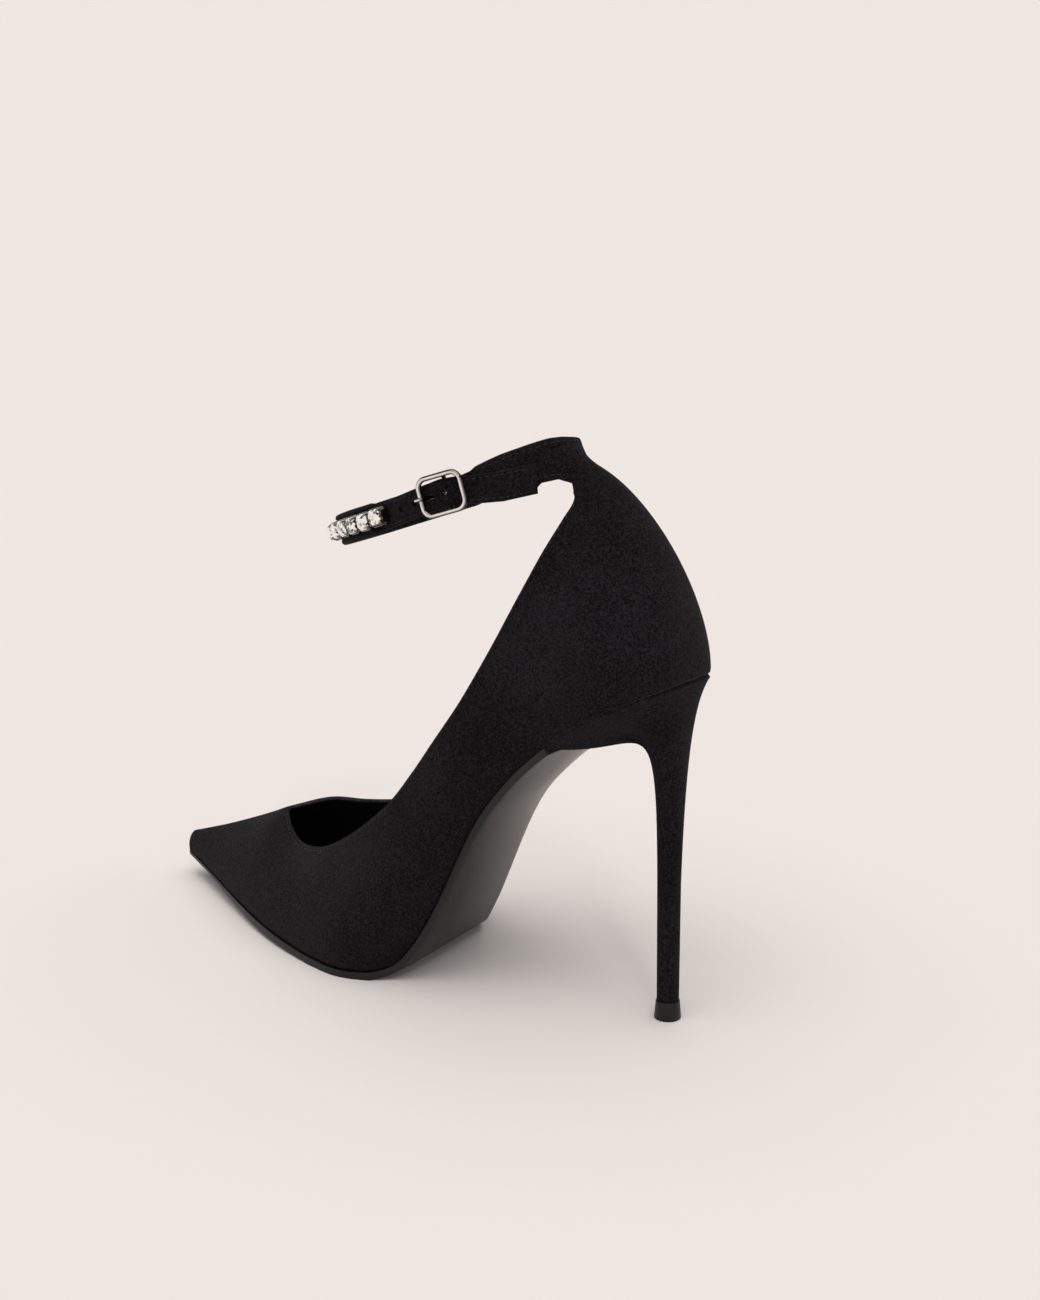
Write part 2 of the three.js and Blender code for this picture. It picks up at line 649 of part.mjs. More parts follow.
function makeStrap() {
  const coarse = 5;
  const fine = 2;
  const turns = [];
  for (let turn = tailTurn; turn < strapEndTurn; turn += Math.abs(turn - buckleTurn) < 12 ? fine : coarse) {
    turns.push(turn);
  }
  turns.push(strapEndTurn);
  const halfThick = strapThick / 2;
  const bevel = 0.35;
  const profile = [
    [1, 0, halfThick - bevel],
    [1, 0, -halfThick + bevel],
    [1, -bevel, -halfThick],
    [-1, bevel, -halfThick],
    [-1, 0, -halfThick + bevel],
    [-1, 0, halfThick - bevel],
    [-1, bevel, halfThick],
    [1, -bevel, halfThick],
  ];
  const rings = turns.map((turn) => {
    const halfWidth = mix(strapWidth, frontWidth, readRow(strapRows, "turn", turn, "width")) / 2;
    const middle = readRow(strapRows, "turn", turn, "up");
    const slant = turn === tailTurn ? tailSlant : 0;
    return profile.map(([side, inset, out]) =>
      loopPoint(turn - side * slant, strapOut(turn) + out, middle + side * halfWidth + inset));
  });
  let strap = toSolid(loft(rings));
  for (let i = 0; i < holeCount; i += 1) {
    const turn = turnAfter(buckleTurn, holePitch * (i - 0.13));
    const hole = new THREE.CylinderGeometry(holeRadius, holeRadius, 3 * strapThick, 10);
    hole.rotateX(Math.PI / 2);
    hole.scale(i === 1 ? holeStretch : 1, 1, 1);
    hole.applyMatrix4(loopFrame(turn, strapOut(turn), readRow(strapRows, "turn", turn, "up")));
    strap = strap.subtract(toSolid(hole));
  }
  return fromSolid(strap);
}
addPiece("ankle_strap", makeStrap(), suede);

// Buckle: rounded frame above the strap, with a stepped centre bar below it in the chape
const buckleFrame = loopFrame(buckleTurn, -wall / 2, 0);
const frameOut = wall / 2 + gap + strapThick + gap + wireRadius;
const frameHalfHeight = strapWidth / 2 + 2 * gap + wireRadius;
const frameHalfLength = buckleLength / 2 - wireRadius;
const axisX = new THREE.Vector3(1, 0, 0);
const axisY = new THREE.Vector3(0, 1, 0);
const axisZ = new THREE.Vector3(0, 0, 1);

function makeBuckle() {
  const corner = 3;
  const cornerSteps = 4;
  const path = [];
  for (const [sx, sy, start] of [[1, 1, 0], [-1, 1, 90], [-1, -1, 180], [1, -1, 270]]) {
    for (let i = 0; i <= cornerSteps; i += 1) {
      const angle = radians(start + 90 * i / cornerSteps);
      path.push(new THREE.Vector3(
        sx * (frameHalfLength - corner) + corner * Math.cos(angle),
        sy * (frameHalfHeight - corner) + corner * Math.sin(angle),
        frameOut));
    }
  }
  const frame = toSolid(wire(path, wireRadius, axisZ, true));
  const step = 0.6;
  const bar = toSolid(wire([
    new THREE.Vector3(0, -frameHalfHeight, frameOut),
    new THREE.Vector3(0, -frameHalfHeight, step),
    new THREE.Vector3(0, -frameHalfHeight + step, 0),
    new THREE.Vector3(0, frameHalfHeight - step, 0),
    new THREE.Vector3(0, frameHalfHeight, step),
    new THREE.Vector3(0, frameHalfHeight, frameOut),
  ], barRadius, axisX));
  return fromSolid(frame.add(bar));
}
addPiece("buckle_frame", makeBuckle(), silver, buckleFrame);

// Prong: an eye round the centre bar, then up through the strap's hole and over the front of the frame
function makeProng() {
  const eyeWire = 0.35;
  const eyeRadius = barRadius + gap + eyeWire;
  const eye = Array.from({ length: 12 }, (_, k) => {
    const angle = 2 * Math.PI * k / 12;
    return new THREE.Vector3(eyeRadius * Math.cos(angle), 0, eyeRadius * Math.sin(angle));
  });
  const rest = frameOut + wireRadius + gap + prongRadius;
  const hole = holePitch * 0.87;
  const path = [
    [eyeRadius, 0],
    [hole - 1.5, 0.5],
    [hole - 0.1, 2.2],
    [hole + 0.9, 4.2],
    [frameHalfLength - 0.8, rest],
    [frameHalfLength + wireRadius + 0.3, rest - 0.1],
  ].map(([forward, out]) => new THREE.Vector3(-forward, 0, out));
  const shaft = toSolid(wire(path, prongRadius, axisY));
  return fromSolid(toSolid(wire(eye, eyeWire, axisY, true)).add(shaft));
}
addPiece("buckle_prong", makeProng(), silver, buckleFrame);

// Crystals in a chain of round cups along the front of the strap; small links join the cups
const cupRadius = stoneRadius + cupClear + cupWall;
const cupBase = 0.5;
const cupProfile = [
  [0, 0],
  [cupRadius, 0],
  [cupRadius, cupHeight],
  [cupRadius - cupWall, cupHeight],
  [cupRadius - cupWall, cupBase],
  [0, cupBase],
].map(([r, z]) => new THREE.Vector2(r, z));
const girdle = 0.5;
const girdleHeight = cupHeight - 0.1;
const tableShare = 0.6;
const stoneProfile = [
  [0, cupBase + gap],
  [stoneRadius, girdleHeight - girdle],
  [stoneRadius, girdleHeight],
  [tableShare * stoneRadius, cupBase + gap + stoneHeight],
  [0, cupBase + gap + stoneHeight],
].map(([r, z]) => new THREE.Vector2(r, z));

const rowFrame = (step) => {
  const turn = turnAfter(180, (step - (stoneCount - 1) / 2) * stonePitch);
  return loopFrame(turn, 2 * gap + strapThick, readRow(strapRows, "turn", turn, "up"));
};

function makeCupChain() {
  const linkWidth = 1.2;
  const cupAt = (step) =>
    toSolid(new THREE.LatheGeometry(cupProfile, 10).rotateX(Math.PI / 2).applyMatrix4(rowFrame(step)));
  const linkAt = (step) => {
    const link = new THREE.BoxGeometry(0.6 * stonePitch, linkWidth, cupBase);
    return toSolid(link.translate(0, 0, cupBase / 2).applyMatrix4(rowFrame(step)));
  };
  let chain = cupAt(0);
  for (let i = 1; i < stoneCount; i += 1) {
    chain = chain.add(cupAt(i)).add(linkAt(i - 0.5));
  }
  return fromSolid(chain);
}
addPiece("cup_chain", makeCupChain(), silver);
for (let i = 0; i < stoneCount; i += 1) {
  const number = String(i + 1).padStart(2, "0");
  const stone = new THREE.LatheGeometry(stoneProfile, 8).rotateX(Math.PI / 2);
  addPiece(`stone_${number}`, stone, crystal, rowFrame(i));
}

export default part;
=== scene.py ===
import math

import bmesh
import bpy
import numpy as np
from mathutils import Matrix, Vector


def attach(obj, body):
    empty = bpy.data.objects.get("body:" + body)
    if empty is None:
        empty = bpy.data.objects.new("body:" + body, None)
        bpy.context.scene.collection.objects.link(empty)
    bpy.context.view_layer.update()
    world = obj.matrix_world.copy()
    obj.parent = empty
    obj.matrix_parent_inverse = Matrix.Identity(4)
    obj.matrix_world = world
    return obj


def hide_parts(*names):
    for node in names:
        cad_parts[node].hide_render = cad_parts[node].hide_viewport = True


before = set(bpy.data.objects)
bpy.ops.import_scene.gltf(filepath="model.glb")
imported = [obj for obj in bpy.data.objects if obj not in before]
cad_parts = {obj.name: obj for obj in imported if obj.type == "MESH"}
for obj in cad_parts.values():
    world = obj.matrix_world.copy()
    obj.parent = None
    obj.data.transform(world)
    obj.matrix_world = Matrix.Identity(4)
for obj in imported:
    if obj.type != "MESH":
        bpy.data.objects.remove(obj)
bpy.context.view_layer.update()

# Lengths below are in millimetres, as on the last; meshes are written in metres.
# X runs to the toe, Y to the outer side and Z up, from the middle of the heel cap on the floor.
MM = 0.001

SHOE_LENGTH = 220
SEAT_HEIGHT = 114.5
BALL_HALF = 39
BALL_SLANT = 0.1
SLANT_FROM = 0.64

GAP = 0.3
WALL = 1.6
SOLE_THICK = 2.4
TREAD_FLAT = 0.35
SOLE_EDGE = 0.4
TOE_THIN = 0.45
THIN_FROM = 0.68
THIN_TO = 0.9
SOLE_ROUND = 0.45
INSOLE_THICK = 1.8
WAIST_SAG = 1.5

CAP_RADIUS = 4.4
CAP_TOP_RADIUS = 3.9
CAP_HEIGHT = 6.2
CAP_ROUND = 0.4
STEM_RADIUS = 3.6
NECK_RADIUS = 3.8
NECK_HEIGHT = 46
NECK_AT = 0.3
LIP_THICK = 0.9
HEEL_TUCK = 1
HEEL_CENTRE = 0.055
SEAM_REACH = 0.7
SEAM_DIP = 0.35

LOOP_AT = 83.4
LOOP_HEIGHT = 162.4
LOOP_LONG = 46.8
LOOP_WIDE = 26
LOOP_PITCH = 0.34
LOOP_BOW = 0.035
TAB_TURN = 13
STRAP_THICK = 1.8
STRAP_ROUND = 0.75
BUMP_REACH = 5.6
STRAP_WIDTH = 9
FRONT_WIDTH = 9.7
TAIL_TURN = 29
TAIL_SLANT = 1.5
STRAP_END = 314
HOLE_PITCH = 6.1
HOLE_RADIUS = 1.1
HOLE_COUNT = 5
HOLE_SHIFT = 0.13
HOLE_STRETCH = 1.8

BUCKLE_TURN = 72.4
BUCKLE_LENGTH = 17
WIRE_RADIUS = 0.85
BAR_RADIUS = 0.7
BAR_STEP = 0.6
BUCKLE_CORNER = 3
CHAPE_THICK = 0.9
PRONG_RADIUS = 0.6

STONE_RADIUS = 2.6
CUP_WALL = 0.25
CUP_CLEAR = 0.2
CUP_HEIGHT = 3
CUP_BASE = 0.5
STONE_PITCH = 6.2
STONE_COUNT = 16


def named(columns, rows):
    return [dict(zip(columns.split(), row)) for row in rows]


def mix(a, b, share):
    return a + (b - a) * share


def smoothstep(x, low, high):
    share = min(max((x - low) / (high - low), 0), 1)
    return share * share * (3 - 2 * share)


def unit(vector):
    return vector / np.linalg.norm(vector)


def point(x, y, z):
    return np.array([x, y, z], float)


# Curves of the last
class SmoothCurve:
    """A centripetal curve through points, open or closed."""

    def __init__(self, points, closed=False):
        self.points = [np.array(p, float) for p in points]
        self.closed = closed

    def knot(self, index):
        count = len(self.points)
        if self.closed:
            return self.points[index % count]
        if index < 0:
            return 2 * self.points[0] - self.points[1]
        if index >= count:
            return 2 * self.points[-1] - self.points[-2]
        return self.points[index]

    def at(self, share):
        count = len(self.points)
        place = (count if self.closed else count - 1) * share
        index = math.floor(place)
        weight = place - index
        if not self.closed and index >= count - 1:
            index, weight = count - 2, 1.0
        p0, p1, p2, p3 = (self.knot(index + k) for k in (-1, 0, 1, 2))
        steps = [math.sqrt(np.linalg.norm(b - a)) for a, b in ((p0, p1), (p1, p2), (p2, p3))]
        middle = steps[1] if steps[1] > 1e-4 else 1.0
        before = steps[0] if steps[0] > 1e-4 else middle
        after = steps[2] if steps[2] > 1e-4 else middle
        start = ((p1 - p0) / before - (p2 - p0) / (before + middle) + (p2 - p1) / middle) * middle
        end = ((p2 - p1) / middle - (p3 - p1) / (middle + after) + (p3 - p2) / after) * middle
        square = 3 * (p2 - p1) - 2 * start - end
        cube = 2 * (p1 - p2) + start + end
        return p1 + weight * (start + weight * (square + weight * cube))

    def tangent(self, share):
        low, high = max(share - 1e-4, 0), min(share + 1e-4, 1)
        return unit(self.at(high) - self.at(low))


BED_ROWS = named("at up", [
    (-0.06, 1.03), (-0.038, 1), (0.004, 0.961), (0.033, 0.934), (0.071, 0.893), (0.11, 0.847),
    (0.138, 0.806), (0.172, 0.75), (0.2, 0.698), (0.23, 0.632), (0.256, 0.568), (0.276, 0.507),
    (0.299, 0.424), (0.32, 0.34), (0.344, 0.244), (0.37, 0.15), (0.395, 0.078), (0.412, 0.046),
    (0.432, 0.029), (0.46, 0.0245), (0.5, 0.0245), (0.56, 0.0265), (0.64, 0.034), (0.73, 0.043),
    (0.82, 0.055), (0.92, 0.072), (1.01, 0.09), (1.1, 0.11),
])
bed_curve = SmoothCurve([point(row["at"] * SHOE_LENGTH, 0, row["up"] * SEAT_HEIGHT) for row in BED_ROWS])
bed_points = np.array([bed_curve.at(i / 336) for i in range(337)])


def bed_height(x, y):
    waist_on = smoothstep(x, 0.14 * SHOE_LENGTH, 0.3 * SHOE_LENGTH)
    along = x - BALL_SLANT * max(0, SLANT_FROM * BALL_HALF - y) * waist_on
    return max(float(np.interp(along, bed_points[:, 0], bed_points[:, 2])), SOLE_THICK + GAP)


def off_bed(place, distance):
    x, y = place[0], place[1]
    slope_x = (bed_height(x + 1, y) - bed_height(x - 1, y)) / 2
    slope_y = (bed_height(x, y + 1) - bed_height(x, y - 1)) / 2
    return place + unit(point(-slope_x, -slope_y, 1)) * distance


SECTIONS = named("at outer inner top top_outer top_inner up_outer up_inner swell rise lean side drop", [
    (1.002, -0.115, -0.115, 0.981, -0.115, -0.115, 0.152, 0.152, 0.02, 0.5, 0.016, 0, 0),
    (0.994, -0.05, -0.18, 0.974, -0.113, -0.113, 0.157, 0.157, 0.02, 0.5, 0.011, 0.03, 0),
    (0.968, 0.02, -0.25, 0.957, -0.105, -0.105, 0.17, 0.17, 0.02, 0.5, 0.002, 0.07, 0),
    (0.918, 0.144, -0.36, 0.914, -0.092, -0.092, 0.2, 0.2, 0.03, 0.5, 0, 0.13, 0),
    (0.855, 0.313, -0.5, 0.855, -0.08, -0.08, 0.245, 0.245, 0.04, 0.5, 0, 0.2, 0),
    (0.79, 0.487, -0.63, 0.8, -0.06, -0.06, 0.29, 0.29, 0.05, 0.5, 0, 0.27, 0),
    (0.736, 0.626, -0.72, 0.75, -0.01, -0.01, 0.335, 0.335, 0.06, 0.5, 0, 0.28, 0.005),
    (0.69, 0.733, -0.79, 0.697, 0.269, -0.265, 0.312, 0.365, 0.07, 0.5, 0, 0.2, 0.026),
    (0.65, 0.815, -0.846, 0.645, 0.456, -0.413, 0.303, 0.365, 0.08, 0.48, 0, 0.15, 0.045),
    (0.6, 0.897, -0.908, 0.58, 0.595, -0.581, 0.33, 0.378, 0.1, 0.42, 0, 0.13, 0.075),
    (0.545, 0.969, -0.959, 0.527, 0.677, -0.7, 0.383, 0.415, 0.12, 0.38, 0, 0.1, 0.12),
    (0.491, 1.005, -0.93, 0.459, 0.795, -0.81, 0.472, 0.498, 0.14, 0.35, 0, 0.06, 0.16),
    (0.448, 0.93, -0.7, 0.4, 0.859, -0.86, 0.568, 0.594, 0.18, 0.33, 0, 0.04, 0.19),
    (0.414, 0.785, -0.52, 0.355, 0.872, -0.85, 0.672, 0.694, 0.22, 0.3, 0.01, 0.04, 0.21),
    (0.377, 0.708, -0.43, 0.314, 0.872, -0.833, 0.779, 0.795, 0.22, 0.28, 0.015, 0.04, 0.21),
    (0.327, 0.651, -0.36, 0.27, 0.831, -0.8, 0.904, 0.91, 0.2, 0.3, 0.015, 0.06, 0.2),
    (0.264, 0.641, -0.34, 0.227, 0.751, -0.73, 1.057, 1.057, 0.16, 0.33, 0.01, 0.08, 0.18),
    (0.2, 0.641, -0.38, 0.189, 0.674, -0.66, 1.205, 1.205, 0.11, 0.36, 0, 0.1, 0.17),
    (0.141, 0.641, -0.48, 0.157, 0.577, -0.57, 1.336, 1.336, 0.07, 0.38, -0.01, 0.13, 0.16),
    (0.082, 0.667, -0.58, 0.142, 0.418, -0.418, 1.422, 1.422, 0.03, 0.4, -0.025, 0.215, 0.148),
    (0.027, 0.625, -0.56, 0.141, 0.272, -0.272, 1.47, 1.47, 0.02, 0.42, -0.044, 0.28, 0.118),
    (-0.011, 0.49, -0.44, 0, 0, 0, 0, 0, 0.01, 0.43, -0.045, 0.195, 0.098),
    (-0.032, 0.265, -0.245, 0, 0, 0, 0, 0, 0, 0.42, -0.077, 0.09, 0.072),
    (-0.0385, 0, 0, 0, 0, 0, 0, 0, 0, 0.41, -0.081, 0, 0.061),
])
THROAT_ROW = 6
LIP_ROW = 18
TAB_ROW = 21
BACK_ROW = 23
RING_ROWS = 2 * BACK_ROW

BAND_ROWS = named("turn low_outer low_inner high_outer high_inner out_high out_low", [
    (0, -3, -3, 7.9, 7.9, 1.8, 8.2), (6, -4, -4, 8.4, 7.5, 1.8, 7.8),
    (13, -6.5, -6, 8.7, 7, 1.7, 4.9), (15, -5.6, -4.6, 8.8, 6.9, 1.5, 3.8),
    (18, -4.4, -3.6, 8.8, 6.8, 1.2, 2.8), (22, -4.4, -3.2, 8.7, 6.7, 0.7, 1.5),
    (27, -4.3, -3.2, 8.5, 6.7, 0.2, 0.5), (29.5, -5.2, -3.4, 8.4, 6.7, 0, 0.1),
    (31, -6.7, -3.6, 8.3, 6.6, 0, 0), (38, -6.9, -4.2, 7.9, 6.4, 0, 0),
    (44, -6.9, -4.6, 7.5, 6.2, 0, 0), (50, -6.5, -4.6, 6.8, 5.9, 0, 0),
    (57, -6, -4.4, 5.8, 5.6, 0, 0), (60, -5, -4.2, 4.7, 5.2, 0, 0),
    (64, -4.4, -3.9, 4.3, 5, 0, 0), (72, -4.3, -3.6, 4.3, 4.9, 0, 0),
])
STRAP_ROWS = named("turn up width", [
    (30, -2.6, 0.6), (48, -2.4, 0.6), (60, -1.2, 0.2), (66, -0.3, 0), (72, 0, 0), (80, -0.4, 0),
    (95, -1.5, 0.2), (112, -1.9, 1), (150, -1.3, 1), (180, -0.8, 1), (248, -0.2, 1), (265, 0.4, 0.2),
    (290, 0.8, 0), (314, 0, 0),
])
FLARE_ROWS = named("turn pull_high lift_high pull_low lift_low", [
    (0, 0.9, -0.035, 0.97, 0.585), (55, 0.9, -0.035, 0.95, 0.585), (80, 0.6, -0.05, 0.98, 0.58),
    (110, 0.6, -0.08, 0.96, 0.48), (135, 0.7, -0.06, 0.92, 0.32), (180, 0.85, -0.06, 0.92, 0.15),
])


def read_row(rows, turn, column):
    return float(np.interp(turn, [row["turn"] for row in rows], [row[column] for row in rows]))


# Ankle loop: turn runs from the back to the outer side, out and up are across it
def loop_normal(turn):
    angle = math.radians(turn)
    normal = np.array([-math.cos(angle) / LOOP_LONG, math.sin(angle) / LOOP_WIDE])
    return normal / np.linalg.norm(normal)


def loop_point(turn, out, up):
    angle = math.radians(turn)
    normal = loop_normal(turn)
    along = -LOOP_LONG * math.cos(angle) + normal[0] * out
    across = LOOP_WIDE * math.sin(angle) + normal[1] * out
    pitch = math.atan(LOOP_PITCH)
    x = LOOP_AT + along * math.cos(pitch) + up * math.sin(pitch)
    z = LOOP_HEIGHT - along * math.sin(pitch) + up * math.cos(pitch) + LOOP_BOW * across * across / LOOP_WIDE
    return point(x, across, z)


def turn_after(start, distance):
    turn = start
    for _ in range(40):
        angle = math.radians(turn)
        speed = math.hypot(LOOP_LONG * math.sin(angle), LOOP_WIDE * math.cos(angle))
        turn += math.degrees(distance / 40 / speed)
    return turn


def loop_frame(turn, out, up):
    """Columns: back along the strap, up its width and out of it, then the place."""
    place = loop_point(turn, out, up)
    rise = unit(loop_point(turn, out, up + 1) - place)
    normal = unit(loop_point(turn, out + 1, up) - place)
    along = unit(np.cross(rise, normal))
    normal = np.cross(along, rise)
    return np.column_stack([along, rise, normal, place])


def loop_matrix(turn, out, up):
    place = loop_frame(turn, out, up)
    return Matrix.Translation(Vector(place[:, 3] * MM)) @ Matrix(place[:, :3].tolist()).to_4x4()


def band_point(turn, share):
    def read(column):
        return read_row(BAND_ROWS, abs(turn), column)

    side = "outer" if turn > 0 else "inner"
    up = mix(read(f"low_{side}"), read(f"high_{side}"), share)
    return loop_point(turn, mix(read("out_high"), read("out_low"), (1 - share) ** 2), up)


# Wall of the upper, by row round the foot edge and share of its height
class Wall:
    def __init__(self):
        foot, top = [], []
        for k in range(RING_ROWS):
            inside = k > BACK_ROW
            number = RING_ROWS - k if inside else k
            row = SECTIONS[number]
            x = row["at"] * SHOE_LENGTH
            y = row["inner" if inside else "outer"] * BALL_HALF
            foot.append(point(x, y, bed_height(x, y)))
            if number >= TAB_ROW:
                turn = TAB_TURN * (BACK_ROW - number) / (BACK_ROW - TAB_ROW)
                top.append(band_point(-turn if inside else turn, 0))
            else:
                side = "inner" if inside else "outer"
                top.append(point(row["top"] * SHOE_LENGTH, row[f"top_{side}"] * BALL_HALF,
                                 row[f"up_{side}"] * SEAT_HEIGHT))
        self.foot = SmoothCurve(foot, True)
        belly, crown = [], []
        for k in range(RING_ROWS):
            inside = k > BACK_ROW
            row = SECTIONS[RING_ROWS - k if inside else k]
            height = top[k][2] - foot[k][2]
            swell = self.outward(k) * row["swell"] * BALL_HALF
            belly.append(foot[k] + swell + point(0, 0, row["rise"] * height))
            hand = -1 if inside else 1
            crown.append(top[k] + point(row["lean"] * SHOE_LENGTH, hand * row["side"] * BALL_HALF,
                                        -row["drop"] * SEAT_HEIGHT))
        self.belly = SmoothCurve(belly, True)
        self.crown = SmoothCurve(crown, True)
        self.ridge = SmoothCurve(top[:THROAT_ROW + 1])
        self.outer_top = SmoothCurve(top[THROAT_ROW:TAB_ROW + 1])
        self.inner_top = SmoothCurve(top[RING_ROWS - TAB_ROW:RING_ROWS - THROAT_ROW + 1])

    def outward(self, row):
        tangent = self.foot.tangent(row / RING_ROWS)
        return unit(point(tangent[1], -tangent[0], 0))

    def foot_point(self, row):
        place = self.foot.at((row % RING_ROWS) / RING_ROWS)
        place[2] = bed_height(place[0], place[1])
        return place

    def top_point(self, row):
        row = row % RING_ROWS
        near = min(row, RING_ROWS - row)
        if near <= THROAT_ROW:
            return self.ridge.at(near / THROAT_ROW)
        if near >= TAB_ROW:
            turn = TAB_TURN * (BACK_ROW - near) / (BACK_ROW - TAB_ROW)
            return band_point(turn if row <= BACK_ROW else -turn, 0)
        share = (near - THROAT_ROW) / (TAB_ROW - THROAT_ROW)
        return self.outer_top.at(share) if row < BACK_ROW else self.inner_top.at(1 - share)

    def column(self, row, shares):
        at = (row % RING_ROWS) / RING_ROWS
        a, b, c, d = self.foot_point(row), self.belly.at(at), self.crown.at(at), self.top_point(row)
        return [a * (1 - s) ** 3 + 3 * b * s * (1 - s) ** 2 + 3 * c * s * s * (1 - s) + d * s ** 3
                for s in shares]


wall = Wall()


def bed_point(row, share, inset, rise):
    a = wall.foot_point(row) - wall.outward(row % RING_ROWS) * inset
    other = RING_ROWS - row
    b = wall.foot_point(other) - wall.outward(other % RING_ROWS) * inset
    place = mix(a, b, share)
    waist = smoothstep(place[0], 0.14 * SHOE_LENGTH, 0.24 * SHOE_LENGTH)
    waist *= 1 - smoothstep(place[0], 0.34 * SHOE_LENGTH, 0.43 * SHOE_LENGTH)
    place[2] = bed_height(place[0], place[1])
    return off_bed(place, rise - WAIST_SAG * waist * 4 * share * (1 - share))


# Meshes
def scene_object(name, mesh):
    made = bpy.data.objects.new(name, mesh)
    bpy.context.scene.collection.objects.link(made)
    return made


class Sheet:
    """Points in millimetres and faces that share them."""

    def __init__(self):
        self.points = []
        self.places = {}
        self.faces = []

    def corner(self, place):
        key = tuple(np.round(place, 3))
        if key not in self.places:
            self.places[key] = len(self.points)
            self.points.append(np.array(place, float))
        return self.places[key]

    def face(self, corners):
        kept = [c for k, c in enumerate(corners) if c != corners[k - 1]]
        if len(set(kept)) > 2:
            self.faces.append(kept)

    def grid(self, rows):
        numbers = [[self.corner(place) for place in row] for row in rows]
        for one, two in zip(numbers, numbers[1:]):
            for j in range(len(one) - 1):
                self.face([one[j], two[j], two[j + 1], one[j + 1]])

    def normals(self):
        places = np.array(self.points)
        total = np.zeros_like(places)
        for face in self.faces:
            corner = places[face]
            area = np.zeros(3)
            for k in range(1, len(face) - 1):
                area += np.cross(corner[k] - corner[0], corner[k + 1] - corner[0])
            total[face] += area
        return total / np.linalg.norm(total, axis=1, keepdims=True)

    def thick_mesh(self, name, thickness, settle=None):
        """A closed wall: front faces first, then back faces, then the rim round its free edges."""
        places = np.array(self.points)
        behind = places - self.normals() * thickness
        if settle:
            behind = np.array([settle(b, a) for a, b in zip(places, behind)])
        count = len(places)
        faces = list(self.faces)
        faces += [[c + count for c in reversed(face)] for face in self.faces]
        edges = {}
        for face in self.faces:
            for a, b in zip(face, face[1:] + face[:1]):
                edges[(a, b)] = True
        rim = [(a, b) for a, b in edges if (b, a) not in edges]
        faces += [[b, a, a + count, b + count] for a, b in rim]
        mesh = bpy.data.meshes.new(name)
        mesh.from_pydata((np.concatenate([places, behind]) * MM).tolist(), [], faces)
        mesh.update()
        return mesh, len(self.faces)


def select_only(pieces):
    for other in bpy.context.selected_objects:
        other.select_set(False)
    for piece in pieces:
        piece.select_set(True)
    bpy.context.view_layer.objects.active = pieces[0]


def join(pieces, name):
    select_only(pieces)
    bpy.ops.object.join()
    pieces[0].name = name
    return pieces[0]


def finish_piece(made, nodes=(), smooth=None):
    select_only([made])
    if smooth:
        bpy.ops.object.shade_smooth_by_angle(angle=math.radians(smooth))
    made.select_set(False)
    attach(made, "root")
    if nodes:
        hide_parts(*nodes)
    return made


def add_modifier(made, kind, **settings):
    modifier = made.modifiers.new(kind.lower(), kind)
    for key, value in settings.items():
        setattr(modifier, key, value)
    bpy.context.view_layer.objects.active = made
    bpy.ops.object.modifier_apply(modifier=modifier.name)


def round_edges(made, width, segments):
    add_modifier(made, "BEVEL", width=width * MM, segments=segments, limit_method="ANGLE",
                 angle_limit=math.radians(50))


def closed_loft(name, rings, joined=False):
    """A skin through rings of points, with closed ends, or joined end to start."""
    count = len(rings[0])
    places = [place for ring in rings for place in ring]
    faces = []
    links = len(rings) if joined else len(rings) - 1
    for i in range(links):
        for j in range(count):
            a, b = i * count + j, i * count + (j + 1) % count
            c, d = (i + 1) % len(rings) * count + j, (i + 1) % len(rings) * count + (j + 1) % count
            faces.append([a, b, d, c])
    if not joined:
        faces.append(list(range(count))[::-1])
        faces.append([(len(rings) - 1) * count + j for j in range(count)])
    mesh = bpy.data.meshes.new(name)
    mesh.from_pydata((np.array(places) * MM).tolist(), [], faces)
    mesh.update()
    return mesh


# Shader expressions
class Value:
    """A socket in a material; operators add its maths nodes."""

    def __init__(self, tree, socket):
        self.tree = tree
        self.socket = socket

    def maths(self, operation, *others):
        node = self.tree.nodes.new("ShaderNodeMath")
        node.operation = operation
        for socket, value in zip(node.inputs, others):
            plug(self.tree, value, socket)
        return Value(self.tree, node.outputs[0])

    def __add__(self, other):
        return self.maths("ADD", self, other)

    def __mul__(self, other):
        return self.maths("MULTIPLY", self, other)

    def __sub__(self, other):
        return self.maths("SUBTRACT", self, other)

    def __rsub__(self, other):
        return self.maths("SUBTRACT", other, self)

    __radd__ = __add__
    __rmul__ = __mul__


def plug(tree, value, socket):
    if isinstance(value, Value):
        tree.links.new(value.socket, socket)
    else:
        socket.default_value = value


